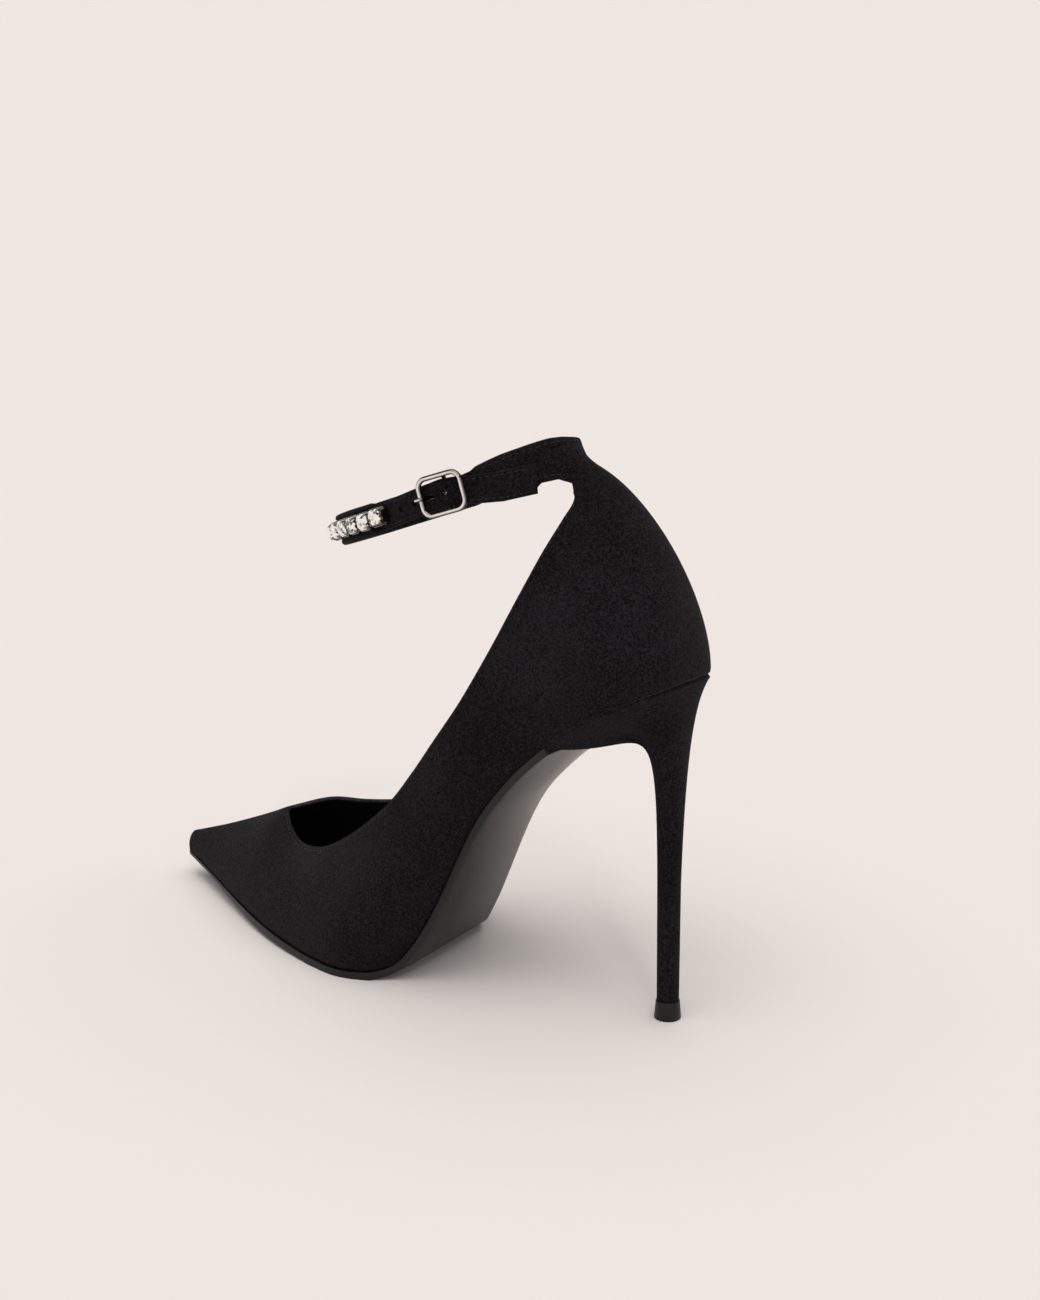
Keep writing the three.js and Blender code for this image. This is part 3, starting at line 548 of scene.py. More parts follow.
class Finish:
    """One material and the nodes that make its look."""

    def __init__(self, name, **shader):
        self.material = bpy.data.materials.new(name)
        self.material.use_nodes = True
        self.tree = self.material.node_tree
        self.shader = self.tree.nodes["Principled BSDF"]
        for key, value in shader.items():
            self.set(key.replace("_", " "), value)

    def set(self, socket, value):
        if isinstance(value, tuple) and len(value) == 3 and socket != "Normal":
            value = (*value, 1)
        plug(self.tree, value, self.shader.inputs[socket])

    def node(self, kind, settings=None, **sockets):
        node = self.tree.nodes.new("ShaderNode" + kind)
        for key, value in (settings or {}).items():
            if key == "stops":
                ramp = node.color_ramp
                while len(ramp.elements) < len(value):
                    ramp.elements.new(0.5)
                for element, (position, colour) in zip(ramp.elements, value):
                    element.position = position
                    element.color = (*colour, 1)
            else:
                setattr(node, key, value)
        for key, value in sockets.items():
            plug(self.tree, value, node.inputs[key.replace("_", " ")])
        return node

    def place(self):
        return Value(self.tree, self.node("TexCoord").outputs["Object"])

    def stretched(self, scale):
        made = self.node("Mapping", Vector=self.place(), Scale=scale)
        return Value(self.tree, made.outputs["Vector"])

    def noise(self, scale, detail=3.0, roughness=0.5, where=None):
        made = self.node("TexNoise", Vector=where or self.place(), Scale=scale, Detail=detail,
                         Roughness=roughness)
        return Value(self.tree, made.outputs["Fac"])

    def cells(self, scale, where=None):
        made = self.node("TexVoronoi", Vector=where or self.place(), Scale=scale)
        return Value(self.tree, made.outputs["Distance"])

    def ramp(self, value, stops):
        made = self.node("ValToRGB", {"stops": stops}, Fac=value)
        return Value(self.tree, made.outputs["Color"])

    def blend(self, share, one, two):
        node = self.node("Mix", {"data_type": "RGBA"})
        plug(self.tree, share, node.inputs[0])
        for colour, socket in ((one, node.inputs[6]), (two, node.inputs[7])):
            plug(self.tree, (*colour, 1) if isinstance(colour, tuple) else colour, socket)
        return Value(self.tree, node.outputs[2])

    def bump(self, height, strength, distance):
        made = self.node("Bump", Height=height, Strength=strength, Distance=distance * MM)
        self.set("Normal", Value(self.tree, made.outputs["Normal"]))


def suede(name, dark, light, sheen):
    made = Finish(name, Roughness=0.95, Sheen_Weight=sheen, Sheen_Roughness=0.45,
                  Sheen_Tint=(0.56, 0.53, 0.64), Specular_IOR_Level=0.12)
    nap = made.noise(1300, 3.0, 0.75)
    fibre = made.noise(3600, 2.0, 0.6)
    brushed = made.noise(26, 4.0, 0.6)
    tone = made.ramp(nap * 0.7 + fibre * 0.3 + brushed * 0.22 - 0.11,
                     [(0.44, (0, 0, 0)), (0.58, (1, 1, 1))])
    made.set("Base Color", made.blend(tone, dark, light))
    made.bump(nap * 0.8 + fibre * 0.5, 1.0, 0.6)
    return made.material


def smooth_leather(name, colour, roughness):
    made = Finish(name, Roughness=roughness, Specular_IOR_Level=0.3)
    grain = made.cells(1500)
    wave = made.noise(160, 3.0)
    made.set("Base Color", made.blend(wave, tuple(c * 0.7 for c in colour), tuple(c * 1.25 for c in colour)))
    made.bump(grain + wave * 0.5, 0.25, 0.05)
    return made.material


def satin_with_painted_light(name, dark, light, tone):
    """Satin whose base colour holds painted light: dark at the low side of the tone, light at its high side;
    the tone is worked out from the place.
    """
    made = Finish(name, Coat_Weight=0.08, Coat_Roughness=0.25, Specular_IOR_Level=0.22)
    fine = made.noise(900, 3.0)
    broad = made.noise(45, 3.0)
    split = made.node("SeparateXYZ", Vector=made.place())
    x, y, z = (Value(made.tree, split.outputs[axis]) for axis in "XYZ")
    # The tone ramp paints light into the base colour.
    share = made.ramp(tone(x, y, z) + broad * 0.12 - 0.06,
                      [(0.15, (0, 0, 0)), (0.5, (0.13, 0.13, 0.13)), (0.75, (0.34, 0.34, 0.34)),
                       (0.95, (1, 1, 1))])
    made.set("Base Color", made.blend(share, dark, light))
    made.set("Roughness", fine * 0.08 + broad * 0.08 + 0.36)
    made.bump(fine, 0.12, 0.03)
    return made.material


def polished(name, painted_highlight, dark, roughness, outward):
    """Metal with a painted highlight on its crest, which faces outward, and painted shade down its sides."""
    made = Finish(name, Metallic=1.0)
    haze = made.noise(420, 3.0)
    facing = made.node("VectorMath", {"operation": "DOT_PRODUCT"})
    made.tree.links.new(made.node("NewGeometry").outputs["Normal"], facing.inputs[0])
    facing.inputs[1].default_value = outward
    # Painted highlight where the normal faces outward, painted shade where it turns away.
    painted_highlight_share = made.ramp(Value(made.tree, facing.outputs["Value"]) + haze * 0.1 - 0.05,
                      [(0.5, (0, 0, 0)), (0.86, (0.22, 0.22, 0.22)), (1.0, (0.95, 0.95, 0.95))])
    made.set("Base Color", made.blend(painted_highlight_share, dark, painted_highlight))
    made.set("Roughness", haze * 0.12 + roughness)
    made.bump(made.noise(1400, 2.0), 0.05, 0.02)
    return made.material


def cut_crystal(name):
    made = Finish(name, Metallic=0.85, Coat_Weight=1.0, Coat_Roughness=0.02)
    # Random facet cells painted near-black or white are painted reflections and glints of the cut stone.
    facets = made.node("TexVoronoi", Vector=made.place(), Scale=1250.0)
    painted_glint = Value(made.tree, facets.outputs["Color"])
    made.set("Base Color", made.ramp(painted_glint, [(0.24, (0.04, 0.04, 0.04)), (0.44, (0.98, 0.97, 0.95))]))
    made.set("Roughness", painted_glint * 0.06 + 0.03)
    return made.material


SUEDE = suede("black_suede", (0.0005, 0.0005, 0.0008), (0.0165, 0.0152, 0.0192), 0.03)
CUT_EDGE = suede("suede_cut_edge", (0.012, 0.0118, 0.0125), (0.06, 0.058, 0.06), 0.06)
THREAD = smooth_leather("black_thread", (0.015, 0.0145, 0.016), 0.6)
LINING = smooth_leather("black_lining", (0.004, 0.004, 0.0045), 0.62)
# The sole's light colour is a painted reflection of the pale floor, growing towards the inner side and up
# the arch.
SOLE = satin_with_painted_light("slate_sole", (0.0085, 0.0092, 0.0105), (0.6, 0.565, 0.505),
                  lambda x, y, z: (0.034 - y) * 18.0 * (z * 10.5 + 0.2))
# The cap is painted lighter on its outer side.
CAP = satin_with_painted_light("slate_cap", (0.005, 0.0056, 0.0066), (0.03, 0.03, 0.03), lambda x, y, z: y * 70.0 + 0.1)
# Both silvers carry a painted highlight on faces turned outward and painted shade on the rest.
SILVER = polished("dark_silver", (0.95, 0.93, 0.9), (0.05, 0.045, 0.04), 0.12,
                  tuple(loop_frame(BUCKLE_TURN, 0, 0)[:, 2]))
CUP_SILVER = polished("cup_silver", (0.8, 0.78, 0.75), (0.2, 0.19, 0.175), 0.12, (0.7, 0.3, 0.65))
CRYSTAL = cut_crystal("clear_crystal")


# Upper: suede outside, lining inside, with its band and tab in one piece
def make_upper():
    per_row = 6
    steps = 22
    shares = [i / steps for i in range(steps + 1)]
    sheet = Sheet()
    sheet.grid([wall.column(i / per_row, shares) for i in range(RING_ROWS * per_row + 1)])
    tab_count = (BACK_ROW - TAB_ROW) * per_row
    tab = [TAB_TURN * (1 - i / tab_count) for i in range(tab_count + 1)]
    end = turn_after(BUCKLE_TURN, -(BAR_RADIUS + GAP + CHAPE_THICK / 2))
    stops = [end] + [row["turn"] for row in reversed(BAND_ROWS) if TAB_TURN <= row["turn"] < end]
    wing = [mix(a, b, i / 4) for a, b in zip(stops, stops[1:]) for i in range(4)]
    half = wing + tab
    turns = half + [-turn for turn in reversed(half[:-1])]
    sheet.grid([[band_point(turn, j / 9) for j in range(10)] for turn in turns])

    def settle(behind, front):
        on_bed = abs(front[2] - bed_height(front[0], front[1])) < 1e-3
        return point(behind[0], behind[1], front[2]) if on_bed else behind

    mesh, front_count = sheet.thick_mesh("upper_shell", WALL, settle)
    made = scene_object("upper_shell", mesh)
    mesh.materials.append(SUEDE)
    mesh.materials.append(LINING)
    mesh.materials.append(CUT_EDGE)
    for polygon in mesh.polygons:
        polygon.material_index = min(polygon.index // front_count, 2)
    add_modifier(made, "SUBSURF", levels=1, render_levels=1)
    return finish_piece(made, ["upper"], 60)


make_upper()


# Sole and insole
def make_outsole():
    per_row, across = 5, 18
    last = LIP_ROW - 0.04
    rows = [min(i / per_row, last) for i in range(LIP_ROW * per_row + 1)]
    sheet = Sheet()
    lines = []
    for row in rows:
        inset = -SOLE_EDGE * smoothstep(row, THROAT_ROW - 3, THROAT_ROW + 4)
        lines.append([bed_point(row, j / across, inset, -GAP) for j in range(across + 1)])
    sheet.grid(lines)

    def settle(behind, front):
        thin = mix(1, TOE_THIN, smoothstep(front[0], THIN_FROM * SHOE_LENGTH, THIN_TO * SHOE_LENGTH))
        return point(behind[0], behind[1], 0) if behind[2] < TREAD_FLAT else mix(front, behind, thin)

    mesh, _ = sheet.thick_mesh("outsole_sheet", SOLE_THICK, settle)
    made = scene_object("outsole_sheet", mesh)
    mesh.materials.append(SOLE)
    round_edges(made, SOLE_ROUND, 3)
    return finish_piece(made, ["outsole"], 50)


make_outsole()


def make_insole():
    per_row, across = 5, 14
    sheet = Sheet()
    sheet.grid([[bed_point(i / per_row, j / across, WALL - GAP, INSOLE_THICK) for j in range(across + 1)]
                for i in range(BACK_ROW * per_row + 1)])
    mesh, _ = sheet.thick_mesh("insole_sock", INSOLE_THICK)
    made = scene_object("insole_sock", mesh)
    mesh.materials.append(LINING)
    return finish_piece(made, ["insole"], 50)


make_insole()


# Heel: the seat's outline runs down to a slim stem; its rim reaches up inside the upper's lower edge, and a
# small step under the rim makes the dark line of the seam
def make_heel():
    per_row, across, flare_steps = 4, 14, 26
    rows = [LIP_ROW + i / per_row for i in range((BACK_ROW - LIP_ROW) * per_row + 1)]
    seat = []
    for row in rows:
        inset = HEEL_TUCK * smoothstep(row, BACK_ROW - 3, BACK_ROW)
        seat.append([bed_point(row, j / across, inset + SEAM_DIP, SEAM_REACH) for j in range(across + 1)])
    front = seat[0]
    inner_side = [row[across] for row in seat[1:-1]]
    outer_side = [row[0] for row in reversed(seat[1:-1])]
    rim = front + inner_side + [seat[-1][0]] + outer_side
    columns = []
    for number, edge in enumerate(rim):
        angle = math.atan2(edge[1], edge[0] - HEEL_CENTRE * SHOE_LENGTH)
        spread = abs(math.degrees(angle))
        around = point(math.cos(angle), math.sin(angle), 0)
        neck = around * NECK_RADIUS + point(NECK_AT, 0, NECK_HEIGHT)
        foot = around * STEM_RADIUS + point(0, 0, CAP_HEIGHT + GAP)
        drop = LIP_THICK if number <= across else 2 * SEAM_DIP
        start = off_bed(edge + around * SEAM_DIP, -SEAM_REACH - drop)
        high = mix(start, neck, read_row(FLARE_ROWS, spread, "pull_high"))
        high[2] = start[2] + read_row(FLARE_ROWS, spread, "lift_high") * SEAT_HEIGHT
        low = mix(start, neck, read_row(FLARE_ROWS, spread, "pull_low"))
        low[2] = neck[2] + read_row(FLARE_ROWS, spread, "lift_low") * SEAT_HEIGHT
        curve = [start * (1 - s) ** 3 + 3 * high * s * (1 - s) ** 2 + 3 * low * s * s * (1 - s)
                 + neck * s ** 3 for s in (i / flare_steps for i in range(flare_steps + 1))]
        stem = [mix(neck, foot, i / 6) for i in range(1, 7)]
        shoulder = off_bed(edge + around * SEAM_DIP * 0.3, -SEAM_REACH - SEAM_DIP * 0.6)
        columns.append([edge, shoulder] + curve + stem)
    sheet = Sheet()
    sheet.grid([[column[i] for column in columns + columns[:1]] for i in range(len(columns[0]))])
    sheet.faces.append([sheet.corner(column[-1]) for column in columns])
    sheet.grid(seat)
    mesh = bpy.data.meshes.new("heel_cover")
    mesh.from_pydata((np.array(sheet.points) * MM).tolist(), [], sheet.faces)
    mesh.materials.append(SUEDE)
    made = scene_object("heel_cover", mesh)
    return finish_piece(made, ["heel"], 38)


make_heel()


# Heel cap, with its edges rounded
def make_cap():
    bpy.ops.mesh.primitive_cone_add(vertices=64, radius1=CAP_RADIUS * MM, radius2=CAP_TOP_RADIUS * MM,
                                    depth=CAP_HEIGHT * MM)
    made = bpy.context.object
    made.name = "cap_piece"
    made.data.transform(Matrix.Translation((0, 0, CAP_HEIGHT / 2 * MM)))
    round_edges(made, CAP_ROUND, 4)
    made.data.materials.append(CAP)
    return finish_piece(made, ["heel_cap"], 40)


make_cap()


# Ankle strap with its punched holes
def strap_bump(turn):
    angle = math.radians((turn + BUCKLE_TURN) / 2)
    speed = math.hypot(LOOP_LONG * math.sin(angle), LOOP_WIDE * math.cos(angle))
    distance = abs(math.radians(turn - BUCKLE_TURN) * speed)
    bump = 0.5 + 0.5 * math.cos(math.pi * distance / BUMP_REACH) if distance < BUMP_REACH else 0
    return (CHAPE_THICK + BAR_RADIUS + GAP - WALL / 2) * bump


def strap_out(turn):
    return GAP + STRAP_THICK / 2 + strap_bump(turn)


def strap_half(turn):
    return mix(STRAP_WIDTH, FRONT_WIDTH, read_row(STRAP_ROWS, turn, "width")) / 2


def strap_middle(turn):
    return read_row(STRAP_ROWS, turn, "up")


def strap_section(width_steps=8, edge_steps=4):
    """The strap's outline as side and out, each from -1 to 1, with an edge allowance for its rounding."""
    corners = []
    for step in range(edge_steps + 1):
        angle = math.pi * (0.5 - step / edge_steps)
        corners.append((1, STRAP_ROUND * (math.cos(angle) - 1), math.sin(angle)))
    flat_low = [(1 - 2 * k / width_steps, 0, -1) for k in range(1, width_steps)]
    other = [(-1, -inset, out) for _, inset, out in reversed(corners)]
    flat_high = [(-1 + 2 * k / width_steps, 0, 1) for k in range(1, width_steps)]
    return corners + flat_low + other + flat_high


def make_strap():
    section = strap_section()
    turns = list(np.arange(TAIL_TURN, STRAP_END, 1.0)) + [STRAP_END]
    rings = []
    for turn in turns:
        half, middle, out = strap_half(turn), strap_middle(turn), strap_out(turn)
        slant = TAIL_SLANT * smoothstep(TAIL_TURN + 3 - turn, 0, 3)
        ring = []
        for side, inset, depth in section:
            reach = side * (half if abs(side) == 1 else half - STRAP_ROUND) + inset
            ring.append(loop_point(turn - side * slant, out + depth * STRAP_THICK / 2, middle + reach))
        rings.append(ring)
    made = scene_object("strap_band", closed_loft("strap_band", rings))
    made.data.materials.append(SUEDE)
    for i in range(HOLE_COUNT):
        turn = turn_after(BUCKLE_TURN, HOLE_PITCH * (i - HOLE_SHIFT))
        bpy.ops.mesh.primitive_cylinder_add(vertices=24, radius=HOLE_RADIUS * MM, depth=3 * STRAP_THICK * MM)
        punch = bpy.context.object
        punch.data.transform(Matrix.Diagonal((HOLE_STRETCH if i == 1 else 1, 1, 1, 1)))
        punch.data.transform(loop_matrix(turn, strap_out(turn), strap_middle(turn)))
        add_modifier(made, "BOOLEAN", object=punch, solver="EXACT")
        bpy.data.objects.remove(punch)
    return finish_piece(made, ["ankle_strap"], 40)


make_strap()


# Buckle: rounded frame, stepped centre bar and prong
def wire_mesh(name, path, radius, axis, joined=False, sides=14, flat=1.0):
    rings = []
    last = len(path) - 1
    for i, place in enumerate(path):
        before = path[(i + last) % len(path)] if joined else path[max(i - 1, 0)]
        after = path[(i + 1) % len(path)] if joined else path[min(i + 1, last)]
        across = unit(np.cross(axis, unit(after - before)))
        ring = []
        for k in range(sides):
            angle = 2 * math.pi * (k + 0.5) / sides
            ring.append(place + across * radius * flat * math.cos(angle) + axis * radius * math.sin(angle))
        rings.append(ring)
    return closed_loft(name, rings, joined)


FRAME_OUT = WALL / 2 + GAP + STRAP_THICK + GAP + WIRE_RADIUS
FRAME_HALF_HEIGHT = STRAP_WIDTH / 2 + 2 * GAP + WIRE_RADIUS
FRAME_HALF_LENGTH = BUCKLE_LENGTH / 2 - WIRE_RADIUS


def make_buckle():
    corner, steps = BUCKLE_CORNER, 8
    path = []
    for sx, sy, start in ((1, 1, 0), (-1, 1, 90), (-1, -1, 180), (1, -1, 270)):
        for i in range(steps + 1):
            angle = math.radians(start + 90 * i / steps)
            path.append(point(sx * (FRAME_HALF_LENGTH - corner) + corner * math.cos(angle),
                              sy * (FRAME_HALF_HEIGHT - corner) + corner * math.sin(angle), FRAME_OUT))
    z_axis = point(0, 0, 1)
    x_axis = point(1, 0, 0)
    rim = scene_object("buckle_rim", wire_mesh("buckle_rim", path, WIRE_RADIUS, z_axis, True))
    high = FRAME_HALF_HEIGHT
    bar_path = SmoothCurve([point(0, -high, FRAME_OUT), point(0, -high, BAR_STEP),
                            point(0, -high + BAR_STEP, 0), point(0, high - BAR_STEP, 0),
                            point(0, high, BAR_STEP), point(0, high, FRAME_OUT)])
    bar = scene_object("buckle_bar", wire_mesh("buckle_bar", [bar_path.at(i / 40) for i in range(41)],
                                               BAR_RADIUS, x_axis))
    made = join([rim, bar], "buckle")
    made.data.materials.append(SILVER)
    made.data.transform(loop_matrix(BUCKLE_TURN, -WALL / 2, 0))
    return finish_piece(made, ["buckle_frame"], 60)


make_buckle()


def make_prong():
    eye_wire = 0.35
    eye_radius = BAR_RADIUS + GAP + eye_wire
    rest = FRAME_OUT + WIRE_RADIUS + GAP + PRONG_RADIUS
    hole = HOLE_PITCH * (1 - HOLE_SHIFT)
    knots = [(eye_radius, 0), (hole - 1.5, 0.5), (hole - 0.1, 2.2), (hole + 0.9, 4.2),
             (FRAME_HALF_LENGTH - 0.8, rest), (FRAME_HALF_LENGTH + WIRE_RADIUS + 0.3, rest - 0.1)]
    curve = SmoothCurve([point(-forward, 0, out) for forward, out in knots])
    y_axis = point(0, 1, 0)
    shaft = scene_object("prong_shaft", wire_mesh("prong_shaft", [curve.at(i / 30) for i in range(31)],
                                                  PRONG_RADIUS, y_axis))
    ring = [point(eye_radius * math.cos(a), 0, eye_radius * math.sin(a))
            for a in (2 * math.pi * k / 28 for k in range(28))]
    eye = scene_object("prong_eye", wire_mesh("prong_eye", ring, eye_wire, y_axis, True, 10))
    made = join([shaft, eye], "prong")
    made.data.materials.append(SILVER)
    made.data.transform(loop_matrix(BUCKLE_TURN, -WALL / 2, 0))
    return finish_piece(made, ["buckle_prong"], 60)


make_prong()


# Raised borders above and below the crystals
BORDER_RADIUS = 1.2
BORDER_START = 107
BORDER_END = 253
BORDER_PROUD = 0.35


def make_borders():
    pieces = []
    for side in (1, -1):
        rings = []
        count = 150
        for i in range(count + 1):
            turn = mix(BORDER_START, BORDER_END, i / count)
            ends = min(i, count - i) / 3
            swell = math.sqrt(1 - (1 - min(ends, 1)) ** 2) if i not in (0, count) else 0.08
            middle = strap_middle(turn) + side * (strap_half(turn) - BORDER_RADIUS + BORDER_PROUD)
            top = strap_out(turn) + STRAP_THICK / 2
            ring = []
            for k in range(14):
                angle = 2 * math.pi * k / 14
                ring.append(loop_point(turn, top + BORDER_RADIUS * swell * (0.15 + 1.1 * math.sin(angle)),
                                       middle + BORDER_RADIUS * swell * math.cos(angle)))
            rings.append(ring)
        pieces.append(scene_object("border", closed_loft("border", rings)))
    made = join(pieces, "crystal_borders")
    made.data.materials.append(SUEDE)
    return finish_piece(made, (), 60)


make_borders()


# Crystals and their cups
GIRDLE = 0.6
STONE_LIFT = 0.35
STONE_CORNER = 0.9
CUP_CORNER = 1.1
CLAW_RADIUS = 0.5
LINK_WIDTH = 1.2


def row_frame(step):
    turn = turn_after(180, (step - (STONE_COUNT - 1) / 2) * STONE_PITCH)
    return loop_matrix(turn, 2 * GAP + STRAP_THICK, strap_middle(turn))


def pick_faces(made, wanted):
    bpy.ops.object.mode_set(mode="EDIT")
    cage = bmesh.from_edit_mesh(made.data)
    for face in cage.faces:
        face.select_set(False)
    for face in cage.faces:
        if wanted(face):
            face.select_set(True)
    bmesh.update_edit_mesh(made.data)


def draw_out(height, spread):
    bpy.ops.mesh.extrude_region_move(TRANSFORM_OT_translate={"value": (0, 0, height * MM)})
    bpy.ops.transform.resize(value=(spread, spread, 1))


def square_up(made, half, corner):
    """Moves the eight sides of a turned prism so that it is a square with cut corners."""
    for vertex in made.data.vertices:
        x, y, _ = vertex.co
        far, near = half * MM, (half - corner) * MM
        vertex.co.x = math.copysign(far if abs(x) > abs(y) else near, x)
        vertex.co.y = math.copysign(near if abs(x) > abs(y) else far, y)


def cut_stone():
    bpy.ops.mesh.primitive_cylinder_add(vertices=8, radius=STONE_RADIUS * MM, depth=GIRDLE * MM)
    made = bpy.context.object
    made.data.transform(Matrix.Rotation(math.radians(22.5), 4, "Z"))
    square_up(made, STONE_RADIUS, STONE_CORNER)
    pick_faces(made, lambda face: face.normal.z > 0.9)
    draw_out(0.6, 0.84)
    draw_out(0.5, 0.74)
    pick_faces(made, lambda face: face.normal.z < -0.9)
    draw_out(-1.5, 0.3)
    bpy.ops.object.mode_set(mode="OBJECT")
    made.data.transform(Matrix.Translation((0, 0, (CUP_HEIGHT + STONE_LIFT) * MM)))
    return made


def cup_with_claws():
    outer = STONE_RADIUS + CUP_CLEAR + CUP_WALL
    bpy.ops.mesh.primitive_cylinder_add(vertices=8, radius=outer * MM, depth=CUP_HEIGHT * MM)
    cup = bpy.context.object
    cup.data.transform(Matrix.Rotation(math.radians(22.5), 4, "Z"))
    square_up(cup, outer, CUP_CORNER)
    pick_faces(cup, lambda face: face.normal.z > 0.9)
    bpy.ops.mesh.inset(thickness=CUP_WALL * MM)
    draw_out(CUP_BASE - CUP_HEIGHT, 0.96)
    bpy.ops.object.mode_set(mode="OBJECT")
    cup.data.transform(Matrix.Translation((0, 0, CUP_HEIGHT / 2 * MM)))
    pieces = [cup]
    for k in range(4):
        bpy.ops.mesh.primitive_uv_sphere_add(segments=10, ring_count=7, radius=CLAW_RADIUS * MM)
        claw = bpy.context.object
        claw.data.transform(Matrix.Diagonal((0.9, 0.9, 2.4, 1)))
        claw.data.transform(Matrix.Rotation(-0.3, 4, "Y"))
        claw.data.transform(Matrix.Translation(((outer + 0.1) * MM, 0, (CUP_HEIGHT + STONE_LIFT) * MM)))
        claw.data.transform(Matrix.Rotation(math.radians(45 + 90 * k), 4, "Z"))
        pieces.append(claw)
    return join(pieces, "cup_model")


def make_crystals():
    stone, cup = cut_stone(), cup_with_claws()
    cups = []
    for i in range(STONE_COUNT):
        piece = scene_object(f"crystal_{i + 1:02d}", stone.data.copy())
        piece.data.transform(row_frame(i))
        piece.data.materials.append(CRYSTAL)
        finish_piece(piece, [f"stone_{i + 1:02d}"])
        ring = scene_object("cup", cup.data.copy())
        ring.data.transform(row_frame(i))
        cups.append(ring)
    for i in range(STONE_COUNT - 1):
        bpy.ops.mesh.primitive_cube_add(size=1)
        link = bpy.context.object
        link.data.transform(Matrix.Diagonal((0.6 * STONE_PITCH * MM, LINK_WIDTH * MM, CUP_BASE * MM, 1)))
        link.data.transform(row_frame(i + 0.5) @ Matrix.Translation((0, 0, CUP_BASE / 2 * MM)))
        cups.append(link)
    row = join(cups, "crystal_cups")
    row.data.materials.append(CUP_SILVER)
    finish_piece(row, ["cup_chain"], 40)
    bpy.data.objects.remove(stone)
    bpy.data.objects.remove(cup)


make_crystals()


# Rows of stitches, each stitch a short thread that lies in the surface
STITCH_LENGTH = 1.5
STITCH_PITCH = 2.3
STITCH_RADIUS = 0.14
STITCH_LIFT = 0.02
TOPLINE_INSET = 1.9
BAND_INSET = 1.7
STRAP_INSET = 1.2


def sew(name, lines):
    """Stitches along lines; a line holds pairs of a place and the direction out of the surface."""
    bpy.ops.mesh.primitive_uv_sphere_add(segments=8, ring_count=6, radius=1)
    model = bpy.context.object
    half, thin = STITCH_LENGTH / 2 * MM, STITCH_RADIUS * MM
    model.data.transform(Matrix.Diagonal((half, thin, thin, 1)))
    copies = []
    for line in lines:
        places = np.array([place for place, _ in line])
        outs = np.array([out for _, out in line])
        steps = np.linalg.norm(np.diff(places, axis=0), axis=1)
        walked = np.concatenate([[0], np.cumsum(steps)])
        for at in np.arange(STITCH_PITCH, walked[-1] - STITCH_PITCH / 2, STITCH_PITCH):
            here, ahead, out = (np.array([np.interp(spot, walked, data[:, k]) for k in range(3)])
                                for spot, data in ((at, places), (at + 0.3, places), (at, outs)))
            along = unit(ahead - here)
            across = unit(np.cross(out, along))
            turned = Matrix(np.column_stack([along, across, np.cross(along, across)]).tolist()).to_4x4()
            stitch = scene_object("stitch", model.data.copy())
            stitch.data.transform(Matrix.Translation(Vector(here * MM)) @ turned)
            copies.append(stitch)
    bpy.data.objects.remove(model)
    made = join(copies, name)
    made.data.materials.append(THREAD)
    return finish_piece(made, (), 60)


def wall_line(start, end):
    """A line on the wall's outside, a little below its top edge."""
    line = []
    for row in np.arange(start, end, 0.1):
        near, edge = wall.column(row, [0.9, 1])
        share = 1 - 0.1 * TOPLINE_INSET / np.linalg.norm(edge - near)
        here, below = wall.column(row, [share, share - 0.02])
        ahead = wall.column(row + 0.05, [share])[0]
        out = unit(np.cross(ahead - here, here - below))
        line.append((here + out * STITCH_LIFT, out))
    return line


def band_line(start, end, top):
    """A line on the band, inside its upper or its lower edge."""
    line = []
    for turn in np.arange(start, end, 1.0):
        low, high = band_point(turn, 0), band_point(turn, 1)
        share = BAND_INSET / np.linalg.norm(high - low)
        share = 1 - share if top else share
        here = band_point(turn, share)
        out = unit(np.cross(band_point(turn, share + 0.02) - here, band_point(turn - 0.5, share) - here))
        line.append((here + out * STITCH_LIFT, out))
    return line


def strap_line(start, end, side):
    line = []
    for turn in np.arange(start, end, 1.0):
        place = loop_frame(turn, strap_out(turn) + STRAP_THICK / 2,
                           strap_middle(turn) + side * (strap_half(turn) - STRAP_INSET))
        line.append((place[:, 3], place[:, 2]))
    return line


sew("topline_stitches", [wall_line(THROAT_ROW + 0.4, TAB_ROW),
                         wall_line(RING_ROWS - TAB_ROW, RING_ROWS - THROAT_ROW - 0.4)])
sew("band_stitches", [band_line(-66, 66, True), band_line(14, 31, False), band_line(-31, -14, False)])
sew("strap_stitches", [strap_line(first, last, side) for side in (1, -1)
                       for first, last in ((31, 64), (82, 107), (254, 313))])


# Stage: pale floor, soft light and the camera
SKY = (0.863, 0.791, 0.753)
SKY_LEVELS = ((0.42, 1.0), (0.5, 0.12), (0.7, 0.12), (0.78, 1.62))
FLOOR_GREY = 0.76
LAMPS = (("soft_key", 0.8, 50, (0.15, -0.35, -1)), ("small_key", 0.25, 7, (0.55, -0.5, -0.7)))
LAMP_COLOUR = (1.0, 0.917, 0.873)


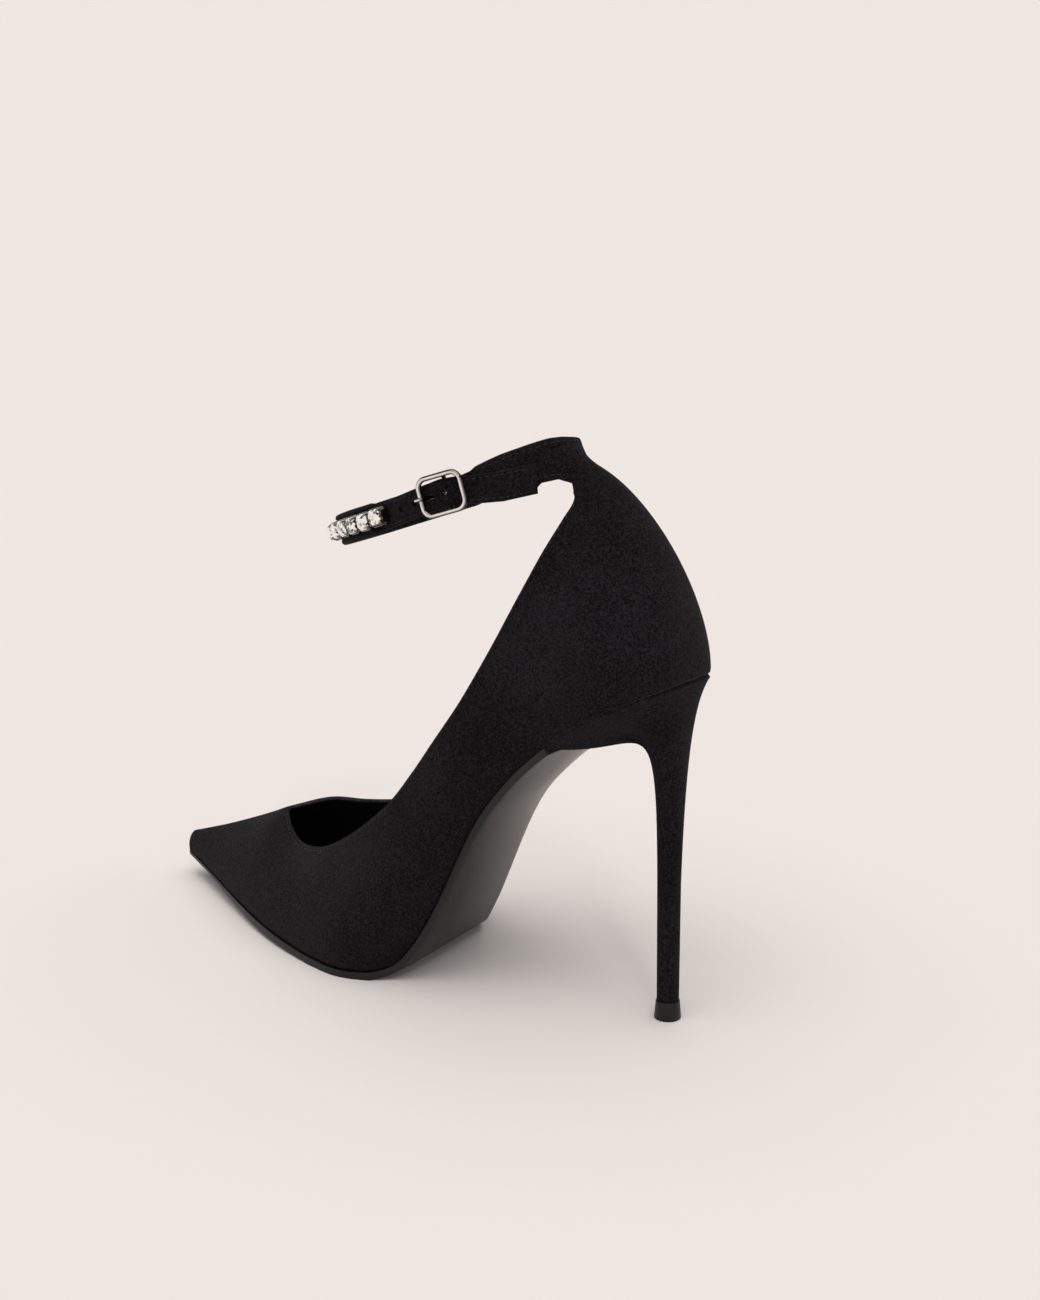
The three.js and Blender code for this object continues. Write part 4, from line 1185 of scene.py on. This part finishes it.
def make_stage():
    bpy.ops.mesh.primitive_circle_add(vertices=96, radius=14, fill_type="NGON", location=(0.1, 0, 0))
    floor = bpy.context.object
    floor.name = "floor"
    pale = Finish("pale_floor", Roughness=1.0, Specular_IOR_Level=0.0, Emission_Strength=1.0)
    far = pale.node("TexGradient", {"gradient_type": "SPHERICAL"}, Vector=pale.stretched((0.6, 0.6, 0.6)))
    near = pale.ramp(Value(pale.tree, far.outputs["Fac"]), [(0.1, (0, 0, 0)), (0.6, (1, 1, 1))])
    grain = pale.noise(60.0, 3.0) * 0.004 + near
    pale.set("Base Color", pale.blend(grain, (0, 0, 0), (FLOOR_GREY,) * 3))
    pale.set("Emission Color", pale.blend(near, SKY, (0, 0, 0)))
    floor.data.materials.append(pale.material)
    world = bpy.data.worlds.new("studio")
    bpy.context.scene.world = world
    world.use_nodes = True
    tree = world.node_tree
    split = tree.nodes.new("ShaderNodeSeparateXYZ")
    tree.links.new(tree.nodes.new("ShaderNodeTexCoord").outputs["Generated"], split.inputs["Vector"])
    ramp = tree.nodes.new("ShaderNodeValToRGB")
    tree.links.new(split.outputs["Z"], ramp.inputs["Fac"])
    ramp.color_ramp.elements.new(0.5)
    ramp.color_ramp.elements.new(0.5)
    for element, (height, level) in zip(ramp.color_ramp.elements, SKY_LEVELS):
        element.position = height
        element.color = tuple(level * part for part in SKY) + (1,)
    tree.links.new(ramp.outputs["Color"], tree.nodes["Background"].inputs["Color"])
    for name, energy, angle, toward in LAMPS:
        sun = bpy.data.lights.new(name, "SUN")
        sun.energy = energy
        sun.color = LAMP_COLOUR
        sun.angle = math.radians(angle)
        lamp = bpy.data.objects.new(name, sun)
        lamp.rotation_euler = Vector(toward).to_track_quat("-Z", "Y").to_euler()
        bpy.context.scene.collection.objects.link(lamp)
    bpy.context.scene.view_settings.view_transform = "Standard"


def make_camera():
    place = Vector((-358.591, 554.609, 293.278)) * MM
    right = Vector((-0.79836473, -0.60217419, 0))
    up = Vector((0.15106979, -0.20028888, 0.96801977))
    back = right.cross(up)
    data = bpy.data.cameras.new("camera")
    data.lens = 2200 / 1300 * 36
    data.sensor_width = 36
    data.clip_start = 0.01
    data.clip_end = 60
    camera = bpy.data.objects.new("camera", data)
    camera.matrix_world = Matrix.Translation(place) @ Matrix((right, up, back)).transposed().to_4x4()
    bpy.context.scene.collection.objects.link(camera)
    bpy.context.scene.camera = camera


make_stage()
make_camera()
